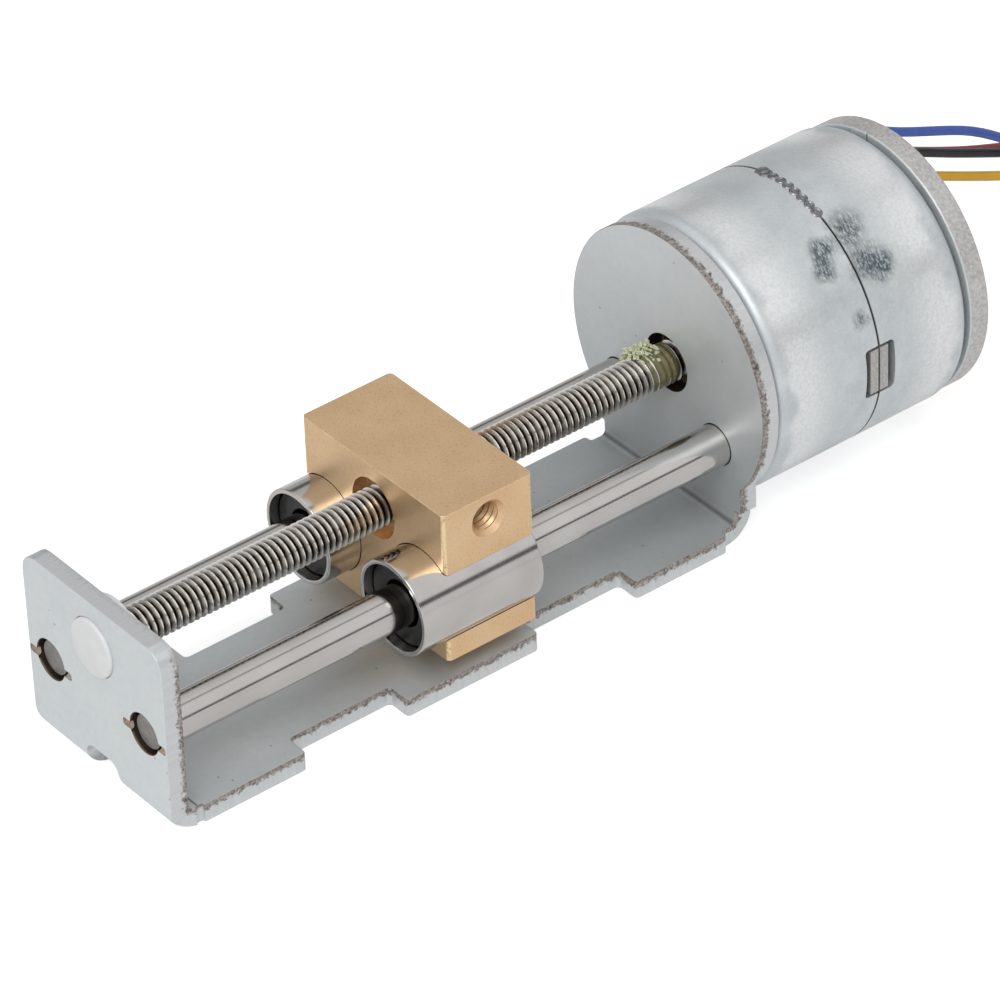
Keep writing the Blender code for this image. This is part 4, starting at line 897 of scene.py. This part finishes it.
def galvanised_can_steel():
    """Drawn zinc-coated steel: mottled blue-grey, burnished shoulders brightened by painted
    glints, dark where it scraped, with painted shade at the seam.
    """
    material, tree, shader = new_material("galvanised_can_steel")
    place = add_node(tree, "TexCoord").outputs["Object"]
    axes = add_node(tree, "SeparateXYZ", {0: place})
    cloud = add_node(tree, "TexNoise", {"Vector": place, "Scale": 1 / (2.4 * MM), "Detail": 4.0,
                                        "Roughness": 0.55})
    grain = add_node(tree, "TexNoise", {"Vector": place, "Scale": 1 / (0.24 * MM), "Detail": 4.0,
                                        "Roughness": 0.7})
    from_front = add_node(tree, "Math", {0: axes.outputs[0], 1: FLANGE_BACK}, operation="SUBTRACT")
    from_rear = add_node(tree, "Math", {0: CAN_REAR, 1: axes.outputs[0]}, operation="SUBTRACT")
    nearest = add_node(tree, "Math", {0: from_front, 1: from_rear}, operation="MINIMUM")
    wander = add_node(tree, "MapRange", {0: cloud, 1: 0.3, 2: 0.7, 3: -0.4 * MM, 4: 0.4 * MM})
    shoulder = add_node(tree, "Math", {0: nearest, 1: wander}, operation="ADD")
    rise = add_node(tree, "MapRange", {0: shoulder, 1: 0.9 * MM, 2: 1.6 * MM, 3: 0.0, 4: 1.0})
    fall = add_node(tree, "MapRange", {0: shoulder, 1: 2.8 * MM, 2: 5.2 * MM, 3: 1.0, 4: 0.0})
    burnish = add_node(tree, "Math", {0: rise, 1: fall}, operation="MULTIPLY")
    blend = add_node(tree, "Mix", {0: 0.45, 2: cloud, 3: grain}, data_type="FLOAT")
    contrast = add_node(tree, "MapRange", {0: blend, 1: 0.28, 2: 0.72, 3: 0.0, 4: 1.0})
    tone = add_node(tree, "Mix", {0: contrast, 6: srgb("#c2c9cc"), 7: srgb("#e2e6e7")},
                    data_type="RGBA")
    # Painted highlight over real burnish: bright glints lighten the shoulder bands.
    glints = add_node(tree, "MapRange", {0: grain, 1: 0.4, 2: 0.62, 3: 0.5, 4: 1.0})
    burnish_and_painted_glints = add_node(tree, "Math", {0: glints, 1: burnish}, operation="MULTIPLY")
    colour = add_node(tree, "Mix", {0: burnish_and_painted_glints, 6: tone, 7: srgb("#f1f3f3")}, data_type="RGBA")
    slanted = (1 / (0.16 * MM), 1 / (0.5 * MM), 1 / (0.3 * MM))
    brushed = add_node(tree, "Mapping", {"Vector": place, "Rotation": (0.0, 0.0, 0.6),
                                         "Scale": slanted})
    speckle = add_node(tree, "TexNoise", {"Vector": brushed, "Scale": 1.0, "Detail": 5.0,
                                          "Roughness": 0.75})
    scraped = add_node(tree, "MapRange", {0: speckle, 1: 0.38, 2: 0.56, 3: 0.1, 4: 1.0})
    for centre, reach in SCRAPES:
        away = add_node(tree, "VectorMath", {0: place, 1: [c * MM for c in centre]},
                        operation="DISTANCE")
        edge = add_node(tree, "Math", {0: away, 1: wander}, operation="ADD")
        inside = add_node(tree, "MapRange", {0: edge, 1: reach * 0.3 * MM, 2: reach * 1.1 * MM,
                                             3: 1.0, 4: 0.0})
        patch = add_node(tree, "Math", {0: inside, 1: scraped}, operation="MULTIPLY")
        colour = add_node(tree, "Mix", {0: patch, 6: colour, 7: srgb("#57626a")}, data_type="RGBA")
    # Painted shade: a thin dark stripe in the seam's gap.
    off_seam = add_node(tree, "Math", {0: axes.outputs[0], 1: SEAM_X}, operation="SUBTRACT")
    apart = add_node(tree, "Math", {0: off_seam}, operation="ABSOLUTE")
    painted_shade_line = add_node(tree, "MapRange", {0: apart, 1: 0.05 * MM, 2: 0.12 * MM, 3: 0.9, 4: 0.0})
    colour = add_node(tree, "Mix", {0: painted_shade_line, 6: colour, 7: srgb("#202224")}, data_type="RGBA")
    rough = add_node(tree, "MapRange", {0: burnish, 3: 0.46, 4: 0.3})
    bump = add_node(tree, "Bump", {"Strength": 0.35, "Distance": 0.02 * MM, "Height": grain})
    connect(tree, shader, {"Base Color": colour, "Metallic": 0.6, "Roughness": rough,
                           "Normal": bump})
    return material


can_steel = galvanised_can_steel()
for name, node, inward in (("front_can", "front_cup", 1), ("rear_can", "rear_cup", -1)):
    low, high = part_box(node)
    closed, mouth = (low.x, high.x) if inward == 1 else (high.x, low.x)
    can_profile = soft_profile([
        (closed, MOTOR_BUSH_HOLE, 0), (closed, CAN_RADIUS, CAN_CORNER),
        (mouth, CAN_RADIUS, CAN_LIP), (mouth, CAN_RADIUS - CAN_WALL, CAN_LIP),
        (closed + inward * CAN_WALL, CAN_RADIUS - CAN_WALL, CAN_INNER_CORNER),
        (closed + inward * CAN_WALL, MOTOR_BUSH_HOLE, 0)])
    can = finished(name, moved(turned(can_profile, 160), z=SCREW_HEIGHT), [can_steel],
                   "frame", 40)
    start, end, half, depth = EAR_WINDOW
    cut_away(can, boxed((start, -CAN_RADIUS - MM, SCREW_HEIGHT - half),
                        (end, -CAN_RADIUS + depth, SCREW_HEIGHT + half), 0.3 * MM, 4))
    block_low, block_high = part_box("terminal_block")
    room = Vector((TERMINAL_ROOM, 0, TERMINAL_ROOM))
    cut_away(can, boxed(block_low - room, block_high + room))
    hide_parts(node)

# Seam weld: a short row of overlapping laser spots joins the cups on top, each a small
# ring-shaped crater, with one smeared nugget where the row began.
WELD_FROM = math.radians(65.6)
WELD_TO = math.radians(104.5)
WELD_HALF_WIDTH = 0.5 * MM
SPOT_SPACING = 0.76 * MM
SPOT_RADIUS = 0.42 * MM
WELD_STEP = 0.035 * MM
WELD_SINK = 0.01 * MM
# The smeared nugget is two big spots, each with its place along, offset and size
NUGGET = ((0.5 * MM, 0.05 * MM, 1.25), (1.0 * MM, -0.08 * MM, 1.2))
FIRST_SPOT = 1.75 * MM
# The crater's rim: its place and width as shares of a spot's radius, and its height
RIM_AT = 0.74
RIM_WIDTH = 0.17
RIM_HEIGHT = 0.1 * MM
POOL_HEIGHT = 0.02 * MM


def weld_height(along, across, spots):
    """The bead's height over the cans at a place: a ring round each spot's hollow."""
    height = 0.0
    for centre, offset, size in spots:
        away = math.hypot(along - centre, across - offset) / (SPOT_RADIUS * size)
        ring = math.exp(-((away - RIM_AT) / RIM_WIDTH) ** 2) * RIM_HEIGHT
        pool = POOL_HEIGHT if away < RIM_AT else 0.0
        height = max(height, ring, pool)
    return height


def weld_bead():
    """The whole row as one sheet of small faces that follows the cans' curve."""
    chance = random.Random(7)
    length = (WELD_TO - WELD_FROM) * CAN_RADIUS
    spots = [*NUGGET]
    at = FIRST_SPOT
    while at < length - SPOT_RADIUS:
        spots.append((at, chance.uniform(-0.05, 0.05) * MM, chance.uniform(0.9, 1.05)))
        at += SPOT_SPACING
    columns = int(2 * WELD_HALF_WIDTH / WELD_STEP)
    bm = bmesh.new()
    grid = []
    for i in range(int(length / WELD_STEP) + 1):
        along = i * WELD_STEP
        turn = WELD_TO - along / CAN_RADIUS
        row = []
        for j in range(columns + 1):
            across = -WELD_HALF_WIDTH + j * 2 * WELD_HALF_WIDTH / columns
            radius = CAN_RADIUS - WELD_SINK + weld_height(along, across, spots)
            row.append(bm.verts.new((SEAM_X + across, -radius * math.cos(turn),
                                     SCREW_HEIGHT + radius * math.sin(turn))))
        grid.append(row)
    for lower, upper in zip(grid, grid[1:]):
        for a, b, c, d in zip(lower, lower[1:], upper[1:], upper):
            bm.faces.new((a, b, c, d))
    return bm


# Remelted steel, bare of zinc: dark grey, glassy and lightly scaled
weld_steel = mottled("remelted_weld_steel", ("#4a4b4d", "#b0b1b2"), 0.2 * MM, 4.0,
                     {"Metallic": 1.0, "Roughness": 0.35})
finished("laser_weld_row", weld_bead(), [weld_steel], "frame", 60)

# Rear plate: a thick disc of the bracket's zinc-plated steel, welded on the rear cup.
# Blanking left its rim coarse, and its inner face is bare.
REAR_PLATE_EDGE = 0.15 * MM


def rear_plate_disc():
    """The disc with its hole; its rim keeps its place on the blank, as the bracket's edges do."""
    low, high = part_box("rear_plate")
    radius = high.z - SCREW_HEIGHT
    bm = turned(soft_profile([
        (low.x, MOTOR_BUSH_HOLE, 0), (low.x, radius, REAR_PLATE_EDGE),
        (high.x, radius, REAR_PLATE_EDGE), (high.x, MOTOR_BUSH_HOLE, 0)]), 160)
    blank = bm.verts.layers.float_vector.new("blank")
    middle = (low.x + high.x) / 2
    for vert in bm.verts:
        turn = math.atan2(vert.co.z, vert.co.y)
        vert[blank] = (turn * radius, 0, vert.co.x - middle)
    bm.normal_update()
    for face in bm.faces:
        face.material_index = 1 if abs(face.normal.x) < 0.7 else 0 if face.normal.x > 0 else 2
    return moved(bm, z=SCREW_HEIGHT)


# The rim as the blanking die left it: coarse, bright and grainy
coarse_rim = mottled("coarse_blanked_rim", ("#9a9693", "#efeeed"), 0.24 * MM, 3.0,
                     {"Metallic": 0.6, "Roughness": 0.45}, (0.3, 0.012 * MM))
rear_plate = finished("blanked_rear_plate", rear_plate_disc(), [zinc, coarse_rim, bare],
                      "frame", 40)
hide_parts("rear_plate")

# Motor's inner parts: they keep the CAD shapes and show only through the windows, so each
# gets the finish of the real thing: zinc-coated yokes, black bobbins, copper, bronze.
# Yokes: blanked, grey and grainy. Bearings: oiled brown sinter. Magnet: dark matt ferrite.
# Windings: glossy enamelled copper. Leads' bare ends and pins: bright tinned copper.
yoke_steel, bronze, ferrite, copper, tin = (
    mottled(name, tones, grain * MM, 3.0, {"Roughness": roughness, "Metallic": metallic},
            (0.3, grain * MM / 20))
    for name, tones, grain, roughness, metallic in (
        ("blanked_yoke_steel", ("#8b8784", "#dcdad8"), 0.16, 0.45, 0.6),
        ("sintered_bronze", ("#8a5f35", "#b98d5c"), 0.1, 0.55, 0.9),
        ("sintered_ferrite", ("#26272a", "#3a3c40"), 0.2, 0.6, 0.0),
        ("enamelled_copper", ("#8a3f1f", "#c06a3a"), 0.11, 0.3, 0.9),
        ("tinned_copper", ("#a8abad", "#d5d7d8"), 0.3, 0.28, 1.0)))
for material, names in (
        (yoke_steel, ("front_inner_yoke", "rear_inner_yoke")), (ferrite, ("rotor_magnet",)),
        (black_plastic, ("front_bobbin", "rear_bobbin", "rotor_hub")),
        (copper, ("front_coil", "rear_coil")), (bronze, ("front_bearing", "rear_bearing")),
        (sleeve_steel, ("thrust_washer_front", "thrust_washer_rear"))):
    for name in names:
        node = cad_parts[name]
        node.data.materials.clear()
        node.data.materials.append(material)

# Terminal block: black plastic through the far window, with four tinned pins. Each pin
# holds one lead in a bead of solder.
PIN_RADIUS = 0.25 * MM
SOLDER_DROP = 0.42 * MM
low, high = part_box("terminal_block")
terminal = finished("moulded_terminal_block", boxed(low, high, 0.2 * MM, 3), [black_plastic],
                    "frame")
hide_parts("terminal_block")


def soldered_pin(x, foot, tip, z):
    """A round pin along Y that ends in a drop of solder."""
    drop = [(tip + SOLDER_DROP * math.sin(a), SOLDER_DROP * math.cos(a))
            for a in (math.radians(-50 + 14 * i) for i in range(10))]
    bm = turned([(foot, 0), (foot, PIN_RADIUS), (tip - SOLDER_DROP, PIN_RADIUS), *drop,
                 (tip + SOLDER_DROP, 0)], 32)
    bmesh.ops.rotate(bm, verts=bm.verts[:], matrix=Matrix.Rotation(math.pi / 2, 3, "Z"))
    return moved(bm, x=x, z=z)


for colour_name in ("blue", "yellow", "red", "black"):
    low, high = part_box(f"terminal_pin_{colour_name}")
    middle = (low + high) / 2
    pin = finished(f"soldered_pin_{colour_name}",
                   soldered_pin(middle.x, low.y, high.y - SOLDER_DROP, middle.z),
                   [tin], "frame", 60)
    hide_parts(f"terminal_pin_{colour_name}")

# Leads: four thin stranded wires in PVC, soldered to the pins on the motor's far side.
# They run back past the motor, down to the surface and into one flat tied coil.
LEAD_DIAMETER = 0.72 * MM
COIL_CENTRE = (78.85 * MM, 6.4 * MM)
COIL_TURNS = 1.5
COIL_RISE = 0.9 * MM
COIL_FLOOR = 0.40 * MM
COIL_EDGE = 8.2 * MM
TAIL_END_HEIGHT = 0.38 * MM
TAIL_LENGTH = 5.3 * MM
TIP_LENGTH = 3.0 * MM
TIP_DIAMETER = 0.4 * MM
SETTLE = 2.4 * MM
# Each lead's own radius in the coil, and in mm the places it passes on its way there
COLUMNS = {"red": 7.7 * MM, "black": 6.7 * MM, "blue": 5.7 * MM, "yellow": 4.7 * MM}
ROUTES = {
    "blue": [(36.15, 12.6, 12.17), (38.6, 12.75, 12.9), (43.0, 12.6, 12.95), (49.4, 12.4, 12.2),
             (55.4, 12.3, 9.6), (61.4, 12.35, 7.05), (65.4, 12.4, 4.5), (69.4, 12.4, 1.6),
             (72.3, 12.1, 0.55)],
    "red": [(31.95, 13.5, 12.17), (34.4, 13.6, 11.9), (40.0, 13.9, 11.7), (47.4, 14.25, 10.5),
            (55.4, 14.4, 6.9), (61.4, 14.4, 4.25), (65.4, 14.35, 2.75), (69.4, 14.2, 1.6),
            (74.9, 14.1, 0.5)],
    "black": [(31.95, 13.5, 10.17), (34.4, 13.65, 10.15), (40.0, 13.75, 10.35),
              (47.4, 13.5, 10.0), (55.4, 13.2, 7.35), (61.4, 13.2, 4.7), (65.4, 13.25, 2.95),
              (69.4, 13.2, 1.3), (73.4, 13.1, 0.5)],
    "yellow": [(36.15, 12.6, 10.17), (38.6, 12.7, 10.05), (43.0, 12.5, 9.9), (49.4, 12.2, 8.6),
               (55.4, 12.0, 6.0), (61.4, 11.9, 3.35), (65.4, 11.75, 1.75), (69.4, 11.35, 0.62),
               (71.6, 11.1, 0.42)],
}


def smooth_route(points, step):
    """Even points along a smooth curve through the chosen ones."""
    points = [Vector(p) for p in points]
    padded = [2 * points[0] - points[1], *points, 2 * points[-1] - points[-2]]
    fine = []
    for a, b, c, d in zip(padded, padded[1:], padded[2:], padded[3:]):
        for i in range(20):
            t = i / 20
            fine.append(0.5 * (2 * b + (c - a) * t + (2 * a - 5 * b + 4 * c - d) * t * t
                               + (3 * b - a - 3 * c + d) * t ** 3))
    fine.append(points[-1])
    even, walked = [fine[0]], 0.0
    for a, b in zip(fine, fine[1:]):
        walked += (b - a).length
        if walked >= step:
            even.append(b)
            walked = 0.0
    return [*even, fine[-1]]


def coil_points(radius, per_turn=40):
    """The lead's turns in the flat coil, rising by a little more than a lead each turn."""
    x, y = COIL_CENTRE
    points = []
    for i in range(int(COIL_TURNS * per_turn) + 1):
        share = i / per_turn
        turn = math.pi / 2 - math.tau * share
        points.append(Vector((x + radius * math.cos(turn), y + radius * math.sin(turn),
                              COIL_FLOOR + COIL_RISE * share)))
    return points


def tail_points(radius, steps=10):
    """The lead's end: level over the outer turns, then down to the surface."""
    x, y = COIL_CENTRE
    edge = x - math.sqrt(COIL_EDGE ** 2 - radius ** 2)
    top = COIL_FLOOR + COIL_RISE * COIL_TURNS
    points = [Vector((x + (edge - x) * i / 6, y - radius, top)) for i in range(1, 7)]
    for i in range(1, steps + 1):
        share = i / steps
        drop = share * share * (3 - 2 * share)
        points.append(Vector((edge - TAIL_LENGTH * share, y - radius,
                              top + (TAIL_END_HEIGHT - top) * drop)))
    return points


def round_wire(name, points, diameter, material):
    """A round wire along its points, as one open spline that rides on the frame."""
    curve = bpy.data.curves.new(name, "CURVE")
    curve.dimensions = "3D"
    curve.bevel_depth = diameter / 2
    curve.bevel_resolution = 5
    curve.use_fill_caps = True
    spline = curve.splines.new("POLY")
    spline.points.add(len(points) - 1)
    for point, place in zip(spline.points, points):
        point.co = (*place, 1)
    spline.use_smooth = True
    curve.materials.append(material)
    obj = placed(name, curve)
    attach(obj, "frame")
    return obj


# Soft PVC sleeves: even colour with a satin shine and slight ripples along the wire
PVC = {name: mottled(f"{name}_pvc", tones, 1.2 * MM, 2.0, {"Roughness": 0.32}, (0.2, 0.02 * MM))
       for name, tones in (("blue", ("#3553a8", "#4a6bc4")), ("black", ("#1a1a1e", "#2c2c31")),
                           ("red", ("#8e3330", "#a94640")), ("yellow", ("#e0a81f", "#f0bd35")))}
first_lead = None
for name, points in ROUTES.items():
    radius = COLUMNS[name]
    chosen = [Vector(p) * MM for p in points]
    chosen.append(Vector((chosen[-1].x + SETTLE, chosen[-1].y, COIL_FLOOR)))
    centreline = smooth_route(chosen, 1.1 * MM) + coil_points(radius) + tail_points(radius)
    wire = round_wire(f"stranded_lead_{name}", centreline, LEAD_DIAMETER, PVC[name])
    end = centreline[-1]
    tip_points = [end, end - Vector((TIP_LENGTH, 0, 0))]
    tip = round_wire(f"tinned_tip_{name}", tip_points, TIP_DIAMETER, tin)
    length = sum((b - a).length for a, b in zip(centreline, centreline[1:]))
    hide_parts(f"lead_{name}", f"lead_end_{name}")
    first_lead = first_lead or wire
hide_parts("lead_coil")

# Lead tie: a thin closed band of black plastic, slipped round the coil. It holds the
# leads' turns together.
TIE_BAND = 0.2 * MM
low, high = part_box("lead_tie")
tie_band = finished("lead_tie_band", boxed(low, high, 0.06 * MM, 2), [black_plastic],
                    "frame")
inset = Vector((TIE_BAND, -MM, TIE_BAND))
cut_away(tie_band, boxed(low + inset, high - inset, 0.3 * MM, 3))
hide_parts("lead_tie")

# Threadlocker: pale yellow-green anaerobic resin, dried as a film over the last threads
# and as a crumbly crust on the side where it was dripped.
FILM_FROM = 20.6 * MM
FILM_TO = 23.2 * MM
FILM_RADIUS = 1.47 * MM
FILM_FADE = 0.12 * MM
CRUST_FROM = 20.25 * MM
CRUST_TO = 22.55 * MM
CRUST_LUMPS = 240
CRUST_SIDE = math.radians(-38)
CRUST_HEIGHT = 0.65 * MM


def resin_film():
    """A sleeve over the last threads, wavy as the thread under it."""
    bm = bmesh.new()
    columns, around = 60, 64
    rows = []
    for j in range(around):
        turn = math.tau * j / around
        row = []
        for i in range(columns + 1):
            x = FILM_FROM + (FILM_TO - FILM_FROM) * i / columns
            share = ((x - THREAD_START) / PITCH - j / around) % 1.0
            cover = min((x - FILM_FROM) / MM, 1.0)
            radius = FILM_RADIUS - (CREST_RADIUS - thread_profile(share)) * (0.7 - 0.5 * cover)
            radius -= FILM_FADE * (1 - cover)
            radius -= 0.05 * MM * abs(noise.noise(Vector((x, turn * MM, 0)) / (0.6 * MM)))
            row.append(bm.verts.new((x, -radius * math.sin(turn), radius * math.cos(turn))))
        rows.append(row)
    for j in range(around):
        here, there = rows[j], rows[(j + 1) % around]
        for i in range(columns):
            bm.faces.new((here[i], here[i + 1], there[i + 1], there[i]))
    return moved(bm, z=SCREW_HEIGHT)


def resin_crust():
    """Overlapping small lumps on the screw's far side and top, thickest near the flange."""
    chance = random.Random(11)
    bm = bmesh.new()
    for _ in range(CRUST_LUMPS):
        x = CRUST_FROM + (CRUST_TO - CRUST_FROM) * chance.random()
        turn = CRUST_SIDE + math.radians(chance.gauss(0, 24))
        size = chance.uniform(0.05, 0.14) * MM
        heap = math.exp(-((turn + 0.66) / 0.45) ** 2)
        reach = 1.4 * MM + chance.uniform(0.0, CRUST_HEIGHT) * heap
        place = Vector((x, -reach * math.sin(turn), reach * math.cos(turn)))
        made = bmesh.ops.create_icosphere(bm, subdivisions=3, radius=size,
                                          matrix=Matrix.Translation(place))
        for vert in made["verts"]:
            push = noise.noise(vert.co / (0.14 * MM)) * 0.8
            push += noise.noise(vert.co / (0.06 * MM)) * 0.3
            vert.co += (vert.co - place) * push
    return moved(bm, z=SCREW_HEIGHT)


# The thin film: the thread shows through, olive where the resin fills the grooves
film_finish = mottled("threadlocker_film", ("#454127", "#7f784c"), 0.7 * MM, 3.0,
                      {"Roughness": 0.3, "Coat Weight": 0.4})
# Dried threadlocker: waxy, half-clear yellow-green, lumpy at the edges
crust_finish = mottled("dried_threadlocker", ("#e6edb0", "#fcfdf0"), 0.5 * MM, 4.0,
                       {"Roughness": 0.25, "Transmission Weight": 0.35, "IOR": 1.4},
                       (0.6, 0.06 * MM))
finished("threadlocker_film", resin_film(), [film_finish], "rotor", 50)
finished("threadlocker_crust", resin_crust(), [crust_finish], "rotor", 60)

# The studio: a pale floor, a white surround and soft light, none of it part of the slide.
# Metal needs darker sides of the room to show its form, so what it mirrors falls off.
FLOOR_DROP = 0.05 * MM
# Dark gaps in what metal mirrors: direction and width in degrees round X, and depth
ROOM_GAPS = ((22, 7, 0.85), (88, 5, 0.6), (157, 9, 0.75))


def studio_floor():
    """A pale matt floor that glows a little for the camera, so that it reads as white."""
    material, tree, shader = new_material("studio_floor")
    rays = add_node(tree, "LightPath")
    seen = add_node(tree, "MapRange", {0: rays.outputs["Is Camera Ray"], 3: 0.0, 4: 0.62})
    mirrored = add_node(tree, "MapRange", {0: rays.outputs["Is Glossy Ray"], 3: 0.0, 4: 0.15})
    strength = add_node(tree, "Math", {0: seen, 1: mirrored}, operation="ADD")
    glow = add_node(tree, "Emission", {"Color": srgb("#ffffff"), "Strength": strength})
    both = add_node(tree, "AddShader", {0: shader, 1: glow})
    connect(tree, shader, {"Base Color": srgb("#f4f4f4"), "Roughness": 0.9})
    connect(tree, tree.nodes["Material Output"], {"Surface": both})
    return material


def studio_world():
    """Plain white light all round; only what metal mirrors has lighter and darker sides."""
    world = bpy.data.worlds.new("studio")
    world.use_nodes = True
    tree = world.node_tree
    direction = add_node(tree, "TexCoord").outputs["Generated"]
    facing = add_node(tree, "VectorMath", {0: direction, 1: (-0.45, -0.50, 0.74)},
                      operation="DOT_PRODUCT")
    level = add_node(tree, "MapRange", {0: facing, 1: -0.3, 2: 0.5, 3: 0.58, 4: 0.96})
    axes = add_node(tree, "SeparateXYZ", {0: direction})
    front = add_node(tree, "Math", {0: axes.outputs[1], 1: -1.0}, operation="MULTIPLY")
    around = add_node(tree, "Math", {0: axes.outputs[2], 1: front}, operation="ARCTAN2")
    for middle, width, depth in ROOM_GAPS:
        away = add_node(tree, "Math", {0: around, 1: math.radians(middle)}, operation="SUBTRACT")
        apart = add_node(tree, "Math", {0: away}, operation="ABSOLUTE")
        gap = add_node(tree, "MapRange", {0: apart, 1: math.radians(width * 0.5),
                                          2: math.radians(width), 3: 1 - depth, 4: 1.0},
                       interpolation_type="SMOOTHSTEP")
        level = add_node(tree, "Math", {0: level, 1: gap}, operation="MULTIPLY")
    rays = add_node(tree, "LightPath")
    glossy = add_node(tree, "Mix", {0: rays.outputs["Is Glossy Ray"], 2: 0.5, 3: level},
                      data_type="FLOAT")
    shown = add_node(tree, "Math",
                     {0: rays.outputs["Is Camera Ray"], 1: rays.outputs["Is Transmission Ray"]},
                     operation="MAXIMUM")
    strength = add_node(tree, "Mix", {0: shown, 2: glossy, 3: 1.0}, data_type="FLOAT")
    connect(tree, tree.nodes["Background"], {"Color": srgb("#ffffff"), "Strength": strength})
    return world


floor_mesh = bpy.data.meshes.new("floor")
floor_bm = bmesh.new()
bmesh.ops.create_grid(floor_bm, x_segments=1, y_segments=1, size=2.0)
floor_bm.to_mesh(floor_mesh)
floor_bm.free()
floor = placed("floor", floor_mesh)
floor.location.z = -FLOOR_DROP
floor.data.materials.append(studio_floor())

key_data = bpy.data.lights.new("key", "AREA")
key_data.shape = "DISK"
key_data.size = 0.35
key_data.energy = 1.4
key = placed("key", key_data)
key.location = (-0.30, -0.22, 0.50)
key.rotation_euler = (Vector((0.01, 0, 0.01)) - key.location).to_track_quat("-Z", "Y").to_euler()

scene = bpy.context.scene
scene.world = studio_world()
scene.view_settings.view_transform = "Standard"
